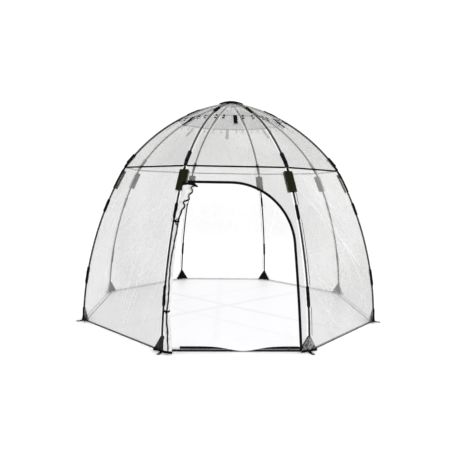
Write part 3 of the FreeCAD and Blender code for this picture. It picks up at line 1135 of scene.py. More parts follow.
@dataclass
class RoofGore:
    """Roof panel with its insect net, vent flap, tabs and strap."""

    index: int
    top_out: float = 0.098
    net_end_out: float = 0.515
    flap_end_out: float = 0.535
    flap_lift: float = 0.0045
    flap_gap: float = 0.032
    tab_width: float = 0.017
    tab_places: tuple[float, ...] = (-0.171, -0.098, 0.085, 0.178)
    strap_span: Pair = (0.530, 0.662)
    strap_width: float = 0.036

    def __post_init__(self) -> None:
        """Find the panel and where its pieces hang."""
        self.gore = Gore(ROOF_FILM, self.index)
        self.turn = gore_turn(self.index)
        self.roof = f"roof_{self.index}"
        self.vent = f"vent_{self.index}"

    def fit(self, slot: str, body: Optional[str] = None, replaces: Sequence[str] = ()) -> Fit:
        """Fit of a piece on this panel."""
        return Fit(body or self.roof, slot, replaces, self.turn, ROOF_KEEP)

    def film(self) -> None:
        """Clear film below the vent."""
        start, end = ROOF_FILM.at_out(self.net_end_out - 0.012), ROOF_FILM.length - 0.002
        relief = FilmRelief(70 + self.index, end, 0.75, lean=0.2, count=10)
        film = self.gore.sheet(f"roof_film_{self.index}", start, end, relief, (64, 62))
        fit_piece(film, Finish.ROOF_FILM, self.fit("clear_film", replaces=[f"roof_panel_{self.index}"]))
        width = 2 * self.gore.half(end)
        self.gore.area(start, end)

    def net(self) -> None:
        """Insect net under the vent flap."""
        start, end = ROOF_FILM.at_out(self.top_out), ROOF_FILM.at_out(self.net_end_out)
        relief = FilmRelief(30 + self.index, end, 0.3, billow=0.003, count=2)
        net = self.gore.sheet(f"insect_net_{self.index}", start, end, relief, (24, 22), lift=-0.001)
        fit_piece(net, Finish.NET, self.fit("sleeve_fabric"))
        2 * self.gore.half(end)
        self.gore.area(start, end)

    def flap(self) -> None:
        """Wrinkled rain flap over the vent, with its hem."""
        start, end = ROOF_FILM.at_out(0.106), ROOF_FILM.at_out(self.flap_end_out)
        relief = FilmRelief(50 + self.index, end, 0.34, billow=0.010, ripple=0.005, count=12)
        flap = self.gore.sheet(f"vent_flap_film_{self.index}", start, end, relief, (44, 40),
                               self.flap_lift + 0.004, self.flap_gap)
        fit_piece(flap, Finish.FLAP_FILM, self.fit("clear_film", self.vent, [f"vent_flap_{self.index}"]))
        hem = self.gore.tape(f"vent_flap_hem_{self.index}", end - 0.005, 0.012, 0.0012,
                             self.flap_lift + 0.005, self.flap_gap + 0.002)
        fit_piece(hem, Finish.WELT_FILM, self.fit("clear_film", self.vent))
        2 * self.gore.half(end, self.flap_gap)
        self.gore.area(start, end, self.flap_gap)

    def tab(self, name: str, across: float, span: Pair, width: float, lift: float) -> Piece:
        """Short length of webbing lying down the panel.

        Args:
            name: name of the piece.
            across: position across.
            span: distances from the axis of its ends.
            width: width.
            lift: height off the film.

        Returns:
            The new object.
        """
        ends = [ROOF_FILM.at_out(out) for out in span]
        path = [self.gore.strip.point(d, across, lift + 0.002 * math.sin(9 * n / 10 + across * 40))
                for n, d in enumerate(spread(ends[0], ends[1], 10))]
        angle = ROOF_FILM.angle(sum(ends) / 2)
        up = self.gore.strip.place(0, math.cos(angle), math.sin(angle)).normalized()
        return ribbon(name, path, up, width, 0.0018)

    def tabs(self) -> None:
        """Tabs on the flap's edge, their pads on the film, and the strap that ties the flap up."""
        flap_tabs = [self.tab(f"tab_{n}", x * 0.93, (0.520, 0.548), self.tab_width, self.flap_lift + 0.0085)
                     for n, x in enumerate(self.tab_places)]
        fit_piece(join(f"vent_flap_tabs_{self.index}", flap_tabs), Finish.WEBBING,
                  self.fit("webbing", self.vent))
        pads = [self.tab(f"pad_{n}", x, (0.549, 0.566), self.tab_width + 0.004, 0.004)
                for n, x in enumerate(self.tab_places)]
        fit_piece(join(f"vent_pads_{self.index}", pads), Finish.WEBBING, self.fit("webbing"))
        strap = self.tab(f"vent_strap_{self.index}", 0.010, self.strap_span, self.strap_width, 0.014)
        fit_piece(strap, Finish.WEBBING, self.fit("webbing"))

    def collar(self) -> None:
        """Black bindings where the flap and the net are sewn to the crown."""
        for name, out, width, lift in (("crown_collar", 0.113, 0.020, 0.012),
                                       ("net_binding", 0.512, 0.010, 0.001)):
            tape = self.gore.tape(f"{name}_{self.index}", ROOF_FILM.at_out(out), width, 0.0016, lift, 0.021)
            fit_piece(tape, Finish.BLACK_CLOTH, self.fit("sleeve_fabric"))

    def build(self) -> None:
        """Make every piece of the panel."""
        self.film()
        self.net()
        self.flap()
        self.tabs()
        self.collar()


CREASE_LEANS = {8: -0.62, 2: 0.62}
CREASE_COUNTS = {2: 20, 8: 24, 4: 5, 5: 4, 6: 5}


@dataclass
class WallGore:
    """Wall panel with the tape round the ring and the hem on the ground."""

    index: int
    top: float = 0.002
    foot_height: float = 0.006
    ring_tape_width: float = 0.016
    hem_width: float = 0.008
    lean: float = 0.25
    crease_count: int = 12
    held_edge: float = 0.05
    held_door: float = 0.06

    def __post_init__(self) -> None:
        """Find the panel."""
        self.gore = Gore(WALL_FILM, self.index)
        self.turn = gore_turn(self.index)
        self.body = f"wall_{self.index}"
        self.end = WALL_FILM.at_height(self.foot_height)
        lean = CREASE_LEANS.get(self.index, self.lean)
        count = CREASE_COUNTS.get(self.index, self.crease_count)
        self.relief = FilmRelief(10 + self.index, self.end, 1.1, lean=lean, count=count)

    def fit(self, slot: str, replaces: Sequence[str] = ()) -> Fit:
        """Fit of a piece on this panel."""
        return Fit(self.body, slot, replaces, self.turn, WALL_KEEP)

    def film(self) -> Piece:
        """Clear film from the ring to the ground."""
        return self.gore.sheet(f"wall_film_{self.index}", self.top, self.end, self.relief, (112, 88))

    def build(self) -> None:
        """Make every piece of the panel."""
        film = self.film()
        fit_piece(film, Finish.WALL_FILM, self.fit("clear_film", [f"wall_panel_{self.index}"]))
        ring = self.gore.tape(f"ring_tape_{self.index}", 0.012, self.ring_tape_width, 0.002, 0.0035, 0.013,
                              0.001)
        fit_piece(ring, Finish.WEBBING, self.fit("webbing"))
        hem = self.gore.tape(f"base_hem_{self.index}", self.end - self.hem_width / 2, self.hem_width, 0.0018,
                             0.002, 0.019)
        fit_piece(hem, Finish.BLACK_CLOTH, self.fit("sleeve_fabric"))
        area, length = self.flat_area(), self.end - self.top
        width = min(2 * self.gore.half(self.end), 2 * area / length)

    def flat_area(self) -> float:
        """Flat area of the film."""
        return self.gore.area(self.top, self.end)


@dataclass
class DoorOutline:
    """D-shaped doorway, as distances to the right and heights seen from the front."""

    left_foot: float = -0.540
    left_middle: float = -0.506
    left_head: float = -0.428
    sill: float = 0.038
    head: float = 1.303
    corner_radius: float = 0.500
    right_head: float = 0.458
    right_foot: float = 0.503

    def left_side(self, steps: int = 26) -> list[Pair]:
        """Sewn side, from its foot to the head.

        Args:
            steps: number of places.

        Returns:
            Places along it.
        """
        places = []
        for share in spread(0, 1, steps):
            ends = self.left_foot * (1 - share) + self.left_head * share
            bow = self.left_middle - (self.left_foot + self.left_head) / 2
            places.append((ends + 4 * bow * share * (1 - share), self.sill + share * (self.head - self.sill)))
        return places

    def open_side(self, steps: int = 26) -> list[Pair]:
        """Zipped edge, from the top left corner round to the right end of the sill.

        Args:
            steps: number of places round the corner.

        Returns:
            Places along it.
        """
        start = self.right_head - self.corner_radius
        places = [(x, self.head) for x in spread(self.left_head, start, 14)[1:]]
        for angle in spread(math.pi / 2, 0, steps)[1:]:
            places.append((start + self.corner_radius * math.cos(angle),
                           self.head - self.corner_radius + self.corner_radius * math.sin(angle)))
        low = self.head - self.corner_radius
        for share in spread(0, 1, 22)[1:]:
            places.append((self.right_head + share * (self.right_foot - self.right_head),
                           low + share * (self.sill - low)))
        return places

    def threshold(self) -> list[Pair]:
        """Sill, from right to left."""
        return [(x, self.sill) for x in spread(self.right_foot, self.left_foot, 40)[1:-1]]

    def loop(self) -> list[Pair]:
        """The whole outline."""
        return self.left_side() + self.open_side() + self.threshold()


def inside(x: float, y: float, outline: Sequence[Pair]) -> bool:
    """Whether a place lies inside a closed outline.

    Args:
        x: first coordinate.
        y: second coordinate.
        outline: places round the outline.

    Returns:
        True when it is inside.
    """
    found = False
    for (ax, ay), (bx, by) in zip(outline, list(outline[1:]) + [outline[0]]):
        if (ay > y) != (by > y) and x < (bx - ax) * (y - ay) / (by - ay) + ax:
            found = not found
    return found


@dataclass
class FrontWall(WallGore):
    """Front panel with the doorway cut out of it."""

    door: DoorOutline = field(default_factory=DoorOutline)

    def film(self) -> Piece:
        """Film round the doorway.

        Returns:
            The film.
        """
        outline = self.door.loop()
        ends = [WALL_FILM.point(self.top)[1], WALL_FILM.point(self.end)[1]]
        heights = spread(ends[1], ends[0], 90)
        halves = [self.gore.half(WALL_FILM.at_height(z)) for z in heights]
        border = list(zip(halves, heights)) + list(zip([-h for h in halves], heights))[::-1]
        places = border + outline
        edges = [(n, (n + 1) % len(border)) for n in range(len(border))]
        edges += [(len(border) + n, len(border) + (n + 1) % len(outline)) for n in range(len(outline))]
        for z, half in list(zip(heights, halves))[1:-1]:
            places += [(x, z) for x in spread(-half, half, 80)[1:-1]
                       if self.from_door(x, z, outline) > 0.008 and not inside(x, z, outline)]
        made = geometry.delaunay_2d_cdt([Vector(p) for p in places], edges, [], 0, 1e-6)
        points, faces = made[0], made[2]
        kept = [face for face in faces
                if self.keeps(sum((points[v] for v in face), Vector((0, 0))) / len(face), border, outline)]
        placed, lines = [], []
        for point in points:
            distance = WALL_FILM.at_height(min(max(point.y, ends[1]), ends[0]))
            side = (self.gore.half(distance) - abs(point.x)) / self.held_edge
            hold = smooth(min(side, self.from_door(point.x, point.y, outline) / self.held_door))
            placed.append(self.gore.strip.point(distance, point.x, hold * self.relief.lift(distance, point.x)))
            lines.append(self.relief.line(distance, point.x) * hold)
        film = new_mesh(f"wall_film_{self.index}", placed, [face[::-1] for face in kept])
        float_attribute(film, "fold_line", lines)
        return film

    def from_door(self, x: float, z: float, outline: Sequence[Pair]) -> float:
        """Distance of a place from the doorway's edge."""
        return min(math.hypot(x - px, z - pz) for px, pz in outline)

    def keeps(self, place: Vector, border: Sequence[Pair],
              outline: Sequence[Pair]) -> bool:
        """Whether a face is film."""
        return inside(place.x, place.y, border) and not inside(place.x, place.y, outline)

    def flat_area(self) -> float:
        """Flat area of the film round the doorway.

        Returns:
            The area.
        """
        loop = self.door.loop()
        hole = 0.0
        for (ax, az), (bx, bz) in zip(loop, loop[1:] + loop[:1]):
            down_a, down_b = WALL_FILM.at_height(az), WALL_FILM.at_height(bz)
            hole += (ax * down_b - bx * down_a) / 2
        return self.gore.area(self.top, self.end) - abs(hole)


# ---------------------------------------------------------------- fabric on the ribs


@dataclass(frozen=True)
class RodRun:
    """Section frame along one rod."""

    arc: RibArc
    turn: float

    def point(self, distance: float, across: float, out: float) -> Vector:
        """Point beside the rod: across it and outwards from its axis.

        Args:
            distance: distance down the rod.
            across: position across it.
            out: distance outwards from its axis.

        Returns:
            The point.
        """
        angle = self.arc.angle(distance)
        centre = self.arc.point(distance)
        strip = Strip(self.arc, self.turn)
        return strip.place(across, centre[0] + out * math.cos(angle), centre[1] + out * math.sin(angle))

    def outward(self, distance: float) -> Vector:
        """Direction away from the dome at a distance down the rod."""
        angle = self.arc.angle(distance)
        return Strip(self.arc, self.turn).place(0, math.cos(angle), math.sin(angle))


def over_rod(across: float, radius: float, gap: float) -> float:
    """Height of cloth laid over a rod and down on to the film at both sides.

    Args:
        across: position across the rod.
        radius: radius of the cloth over the rod.
        gap: height of the cloth over the film.

    Returns:
        The height.
    """
    plane = gap - math.hypot(across, 0.002) * math.tan(HALF_GORE)
    arch = math.sqrt(max(radius**2 - across**2, 0.0))
    return (plane + arch + math.hypot(plane - arch, 0.002)) / 2


@dataclass
class Saddle:
    """Cloth folded over a rod on to both panels."""

    run: RodRun
    span: Pair
    wings: Pair
    radius: float
    gap: float
    seed: int
    pucker: float = 0.0008

    def wing(self, distance: float) -> float:
        """Half width at a distance down the rod."""
        share = (distance - self.span[0]) / (self.span[1] - self.span[0])
        return self.wings[0] + share * (self.wings[1] - self.wings[0])

    def place(self, distance: float, across: float, extra: float = 0.0) -> Vector:
        """Point on the cloth."""
        crumple = self.pucker * noise.noise(Vector((distance * 45, across * 40, self.seed)))
        return self.run.point(distance, across, over_rod(across, self.radius, self.gap) + crumple + extra)

    def cloth(self, name: str, rows: int = 26, columns: int = 29) -> Piece:
        """The cloth as a surface.

        Args:
            name: name of the piece.
            rows: rows of vertices.
            columns: vertices in a row.

        Returns:
            The new object.
        """
        points = []
        for distance in spread(*self.span, rows):
            wing = self.wing(distance)
            points += [self.place(distance, across) for across in spread(-wing, wing, columns)]
        return new_mesh(name, points, grid_faces(rows, columns))

    def edge_path(self, side: float, inset: float, extra: float, count: int) -> list[Vector]:
        """Line along one side of the cloth."""
        return [self.place(d, side * (self.wing(d) - inset), extra) for d in spread(*self.span, count)]


def stitches(name: str, lines: Sequence[Sequence[Vector]], up: Vector, thickness: float = 0.0009) -> Piece:
    """Rows of separate thread stitches along lines.

    Args:
        name: name of the piece.
        lines: points of each line.
        up: direction that the thread arches to.
        thickness: thickness of the thread.

    Returns:
        The new object.
    """
    made = []
    for line in lines:
        for start, end in zip(line, line[1:]):
            a, b = start.lerp(end, 0.14), start.lerp(end, 0.80)
            middle = (a + b) / 2 + up * thickness * 0.5
            made.append(tube(f"{name}_{len(made)}", [a, middle, b], thickness / 2, up, 6))
    return join(name, made)


@dataclass
class RibDressing:
    """Pocket, wraps, sleeves, rod covers, corner patch, linings and peg tab on one rib."""

    index: int
    pocket_span: Pair = (0.045, 0.235)
    pocket_wing: float = 0.040
    upper_wrap: Pair = (0.350, 0.470)
    lower_wrap: Pair = (1.005, 1.160)
    wrap_radius: float = 0.0128
    sleeve_wing: float = 0.022
    patch_height: float = 0.122
    patch_wings: Pair = (0.009, 0.078)
    tab_width: float = 0.025
    tab_span: Pair = (1.4935, 1.5515)
    eyelet_out: float = 1.534
    eyelet_radius: float = 0.0045
    cover_radii: Pair = (0.0082, 0.0094)
    lining_gap: float = 0.0075
    cloth_thickness: float = 0.0016
    pocket_lie: Pair = (0.0128, 0.0045)
    wall_sleeve_lie: Pair = (0.0100, 0.0030)
    roof_sleeve_lie: Pair = (0.0112, 0.0046)
    patch_lie: Pair = (0.0118, 0.0085)
    sleeve_pucker: float = 0.0006
    patch_pucker: float = 0.0022
    crown_wrap_outs: Pair = (0.343, 0.480)
    crown_wrap_radius: float = 0.0130
    ring_wire: Pair = (0.0022, 0.0009)

    def __post_init__(self) -> None:
        """Find the rib."""
        self.turn = rib_turn(self.index)
        self.wall = RodRun(WALL_ARC, self.turn)
        self.roof = RodRun(ROOF_ARC, self.turn)
        self.body = f"lower_rib_{self.index}"

    def lower(self, slot: str, replaces: Sequence[str] = ()) -> Fit:
        """Fit of a piece on the wall rod."""
        return Fit(self.body, slot, replaces)

    def pocket(self) -> None:
        """Olive pocket under the elbow, with its seams."""
        saddle = Saddle(self.wall, self.pocket_span, (self.pocket_wing,) * 2, *self.pocket_lie, self.index)
        cloth = saddle.cloth(f"elbow_pocket_{self.index}", 40, 33)
        thicken(cloth, self.cloth_thickness, 1.0)
        fit_piece(cloth, Finish.OLIVE_CLOTH, self.lower("sleeve_fabric", [f"rib_sleeves_{self.index}"]))
        lines = [saddle.edge_path(side, 0.004, 0.0019, 34) for side in (-1, 1)]
        for distance in (self.pocket_span[0] + 0.006, self.pocket_span[1] - 0.006):
            lines.append([saddle.place(distance, x, 0.0019)
                          for x in spread(-self.pocket_wing + 0.004, self.pocket_wing - 0.004, 9)])
        thread = stitches(f"pocket_stitching_{self.index}", lines, self.wall.outward(0.14))
        fit_piece(thread, Finish.GREY_CLOTH, self.lower("sleeve_fabric"))

    def wrap(self, name: str, run: RodRun, span: Pair, radius: float) -> Piece:
        """Strip of cloth wound round the rod and closed on itself.

        Args:
            name: name of the piece.
            run: the rod.
            span: distances of its ends.
            radius: radius.

        Returns:
            The new object.
        """
        path = [run.point(d, 0, 0) for d in spread(*span, 34)]
        seed = self.index * 5.1 + span[0] * 40

        def section(row: int, angle: float) -> Pair:
            """Puckered outline with the overlap's step.

            Args:
                row: row along the wrap.
                angle: angle round it.

            Returns:
                Offsets to the side and up.
            """
            place = Vector((math.cos(angle) * 1.6, math.sin(angle) * 1.6, row * 0.28 + seed))
            crumple = 0.0016 * noise.noise(place)
            ridge = 0.0014 * math.exp(-(((angle - 1.3) / 0.16) ** 2))
            pinch = -0.0012 * math.exp(-((min(row, 33 - row) / 2.0) ** 2))
            reach = radius + crumple + ridge + pinch
            return reach * math.cos(angle), reach * math.sin(angle)

        return loft(name, path, run.outward(sum(span) / 2), section, 36)

    def wraps(self) -> None:
        """The two black wraps."""
        for name, span in (("upper_wrap", self.upper_wrap), ("lower_wrap", self.lower_wrap)):
            piece = self.wrap(f"{name}_{self.index}", self.wall, span, self.wrap_radius)
            fit_piece(piece, Finish.BLACK_CLOTH, self.lower("sleeve_fabric"))

    def cover(self, name: str, run: RodRun, span: Pair, body: str, radius: float) -> None:
        """Thin black cloth tunnel drawn over the rod.

        Args:
            name: name of the piece.
            run: the rod.
            span: distances of its ends.
            body: body that it rides on.
            radius: radius.
        """
        path = [run.point(d, 0, 0) for d in spread(*span, 60)]
        piece = tube(name, path, radius, run.outward(sum(span) / 2), 18)
        fit_piece(piece, Finish.BLACK_CLOTH, Fit(body, "sleeve_fabric"))

    def lining(self, name: str, span: Pair, wings: Pair) -> None:
        """Matching cloth on the inner side of the panels, behind the rod.

        Args:
            name: name of the piece.
            span: distances of its ends.
            wings: half widths at its ends.
        """
        points, rows, columns = [], 22, 25
        for distance in spread(*span, rows):
            share = (distance - span[0]) / (span[1] - span[0])
            wing = wings[0] + share * (wings[1] - wings[0])
            for across in spread(-wing, wing, columns):
                depth = max(abs(across) * math.tan(HALF_GORE) + self.lining_gap, 0.0115)
                points.append(self.wall.point(distance, across, -depth))
        cloth = new_mesh(name, points, grid_faces(rows, columns))
        fit_piece(cloth, Finish.BLACK_CLOTH, self.lower("sleeve_fabric"))

    def clear_sleeve(self) -> None:
        """Clear sleeve over the rod, with its dark bound edges."""
        spans = ((0.240, 0.346), (0.474, 1.001), (1.164, WALL_ARC.length - 0.126))
        for number, span in enumerate(spans, start=1):
            saddle = Saddle(self.wall, span, (self.sleeve_wing + 0.004,) * 2, *self.wall_sleeve_lie,
                            self.index + 9, self.sleeve_pucker)
            film = saddle.cloth(f"pole_sleeve_{self.index}_{number}", 44, 17)
            fit_piece(film, Finish.WELT_FILM, self.lower("clear_film"))
            edge = ribbon(f"sleeve_edge_{self.index}_{number}", saddle.edge_path(1, 0.0015, 0.0006, 30),
                          self.wall.outward(sum(span) / 2), 0.0040, 0.0014)
            fit_piece(edge, Finish.BLACK_CLOTH, self.lower("sleeve_fabric"))

    def corner(self) -> None:
        """Three-cornered patch at the foot, with its stitched edges."""
        span = (WALL_ARC.length - self.patch_height, WALL_ARC.length - 0.002)
        saddle = Saddle(self.wall, span, self.patch_wings, *self.patch_lie, self.index + 21, self.patch_pucker)
        cloth = saddle.cloth(f"corner_patch_{self.index}", 34, 37)
        thicken(cloth, self.cloth_thickness, 1.0)
        # The two front patches get painted highlights on their crumples, the front-right one brighter; the rest
        # are plain black.
        finish = {1: Finish.HIGHLIGHT_PAINTED_CLOTH, 8: Finish.CREASED_CLOTH}.get(self.index, Finish.BLACK_CLOTH)
        fit_piece(cloth, finish, self.lower("sleeve_fabric"))
        lines = [saddle.edge_path(side, 0.0045, 0.0022, 24) for side in (-1, 1)]
        thread = stitches(f"corner_stitching_{self.index}", lines, self.wall.outward(span[1]))
        fit_piece(thread, Finish.GREY_CLOTH, self.lower("sleeve_fabric"))
        low = span[1] - 0.010
        wing = saddle.wing(low)
        path = [saddle.place(low, x, 0.0030) for x in spread(-wing, wing, 30)]
        base = ribbon(f"corner_base_{self.index}", path, self.wall.outward(low), 0.018, 0.0020)
        fit_piece(base, Finish.WEBBING, self.lower("webbing"))

    def peg_tab(self) -> None:
        """Webbing tab on the ground with a metal eyelet."""
        strip = Strip(WALL_ARC, self.turn)
        points, faces, rings, sides = [], [], 5, 32
        centre_out = self.eyelet_out
        for ring in range(rings):
            share = ring / (rings - 1)
            for step in range(sides):
                angle = math.tau * step / sides
                cosine, sine = math.cos(angle), math.sin(angle)
                reach_out = (self.tab_span[1] - centre_out) if sine > 0 else (centre_out - self.tab_span[0])
                stretch = min(self.tab_width / 2 / max(abs(cosine), 1e-6), reach_out / max(abs(sine), 1e-6))
                reach = self.eyelet_radius * (1 - share) * 1.1 + stretch * share
                rise = 0.0050 + 0.0006 * math.sin(sine * reach * 140)
                points.append(strip.place(reach * cosine, centre_out + reach * sine, rise))
        faces = grid_faces(rings, sides, closed=True)
        tab = new_mesh(f"peg_tab_{self.index}", points, faces)
        thicken(tab, 0.0018)
        fit_piece(tab, Finish.WEBBING, self.lower("webbing"))
        middle = self.eyelet_radius + self.ring_wire[0]
        circle = [strip.place(middle * math.cos(a), centre_out + middle * math.sin(a), 0.0062)
                  for a in spread(0, math.tau, 29)[:-1]]
        grommet = self.grommet(circle)
        fit_piece(grommet, Finish.STEEL, self.lower("pin_steel"))

    def grommet(self, circle: Sequence[Vector]) -> Piece:
        """Rolled metal ring through a closed circle of points.

        Args:
            circle: points round the eyelet.

        Returns:
            The new object.
        """
        centre = sum(circle, Vector()) / len(circle)
        points, sides = [], 10
        for place in circle:
            outward = (place - centre).normalized()
            for step in range(sides):
                angle = math.tau * step / sides
                rise = Vector((0, 0, self.ring_wire[1] * math.sin(angle)))
                points.append(place + outward * self.ring_wire[0] * math.cos(angle) + rise)
        faces = grid_faces(len(circle), sides, closed=True)
        last = (len(circle) - 1) * sides
        faces += [[last + step, last + (step + 1) % sides, (step + 1) % sides, step] for step in range(sides)]
        return new_mesh(f"peg_eyelet_{self.index}", points, faces)

    def roof_sleeve(self) -> None:
        """Clear sleeve over the roof rod and the wrap near the crown."""
        fit = Fit(f"upper_rib_{self.index}", "clear_film")
        inner, outer = (ROOF_ARC.at_out(out) for out in self.crown_wrap_outs)
        spans = ((0.085, inner - 0.004), (outer + 0.004, ROOF_ARC.length - 0.145))
        for number, span in enumerate(spans, start=1):
            saddle = Saddle(self.roof, span, (0.024, 0.028), *self.roof_sleeve_lie, self.index + 40,
                            self.sleeve_pucker)
            sleeve = saddle.cloth(f"roof_sleeve_{self.index}_{number}", 44, 17)
            fit_piece(sleeve, Finish.WELT_FILM, fit)
        wrap = self.wrap(f"crown_wrap_{self.index}", self.roof, (inner, outer), self.crown_wrap_radius)
        finish = Finish.OLIVE_CLOTH if self.index == 1 else Finish.BLACK_CLOTH
        fit_piece(wrap, finish, Fit(f"upper_rib_{self.index}", "sleeve_fabric"))

    def build(self) -> None:
        """Make every piece on the rib."""
        self.pocket()
        self.wraps()
        self.cover(f"wall_rod_cover_{self.index}", self.wall, (0.236, WALL_ARC.length - 0.04), self.body,
                   self.cover_radii[0])
        self.cover(f"roof_rod_cover_{self.index}", self.roof, (0.085, ROOF_ARC.length - 0.14),
                   f"upper_rib_{self.index}", self.cover_radii[1])
        self.clear_sleeve()
        self.corner()
        self.lining(f"pocket_lining_{self.index}", self.pocket_span, (self.pocket_wing,) * 2)
        self.lining(f"corner_lining_{self.index}",
                    (WALL_ARC.length - self.patch_height, WALL_ARC.length - 0.004), self.patch_wings)
        self.peg_tab()
        self.roof_sleeve()


# ---------------------------------------------------------------- crown, door and ground


@dataclass
class Crown:
    """Low fabric cap over the hub."""

    radius: float = 0.126
    rim_height: float = 2.1215
    top_height: float = 2.149

    def build(self) -> None:
        """Make the cap, its stitching and its rim."""
        points, rings, sides = [], 16, 96
        for ring in range(rings):
            share = ring / (rings - 1)
            for step in range(sides):
                angle = math.tau * step / sides
                ribs = 0.5 + 0.5 * math.cos(GORES * (angle - HALF_GORE - math.pi / 2))
                reach = max(share * self.radius * (1 - 0.03 * (1 - ribs) * share), 0.0005)
                drop = (self.top_height - self.rim_height) * share**2.1
                sag = 0.004 * (1 - ribs) * share**2
                place = Vector((math.cos(angle) * 3, math.sin(angle) * 3, share * 4))
                crumple = 0.0012 * noise.noise(place) * share
                points.append(Vector((reach * math.cos(angle), reach * math.sin(angle),
                                      self.top_height - drop - sag * 0.5 + min(crumple, 0))))
        faces = grid_faces(rings, sides, closed=True) + [list(range(sides))[::-1]]
        cap = new_mesh("crown_cap_cloth", points, faces)
        thicken(cap, 0.002, -1.0)
        fit_piece(cap, Finish.BLACK_CLOTH, Fit("crown", "cap_fabric", ["crown_cap"]))
        lines = [[Vector((r * math.cos(a), r * math.sin(a), self.top_height + 0.0003
                          - (self.top_height - self.rim_height) * (r / self.radius) ** 2.1))
                  for r in spread(0.012, self.radius - 0.008, 24)]
                 for a in (math.pi / 8 + n * GORE_TURN for n in range(GORES))]
        fit_piece(stitches("crown_stitching", lines, UP, 0.0007), Finish.GREY_CLOTH,
                  Fit("crown", "cap_fabric"))
        binding = tube("crown_binding", self.rim(), 0.0028, UP, 12)
        fit_piece(binding, Finish.WEBBING, Fit("crown", "cap_fabric"))

    def rim(self) -> list[Vector]:
        """Path just under the cap's rim."""
        reach, height = self.radius * 0.985, self.rim_height - 0.0035
        return [Vector((reach * math.cos(a), reach * math.sin(a), height)) for a in spread(0, math.tau, 97)]


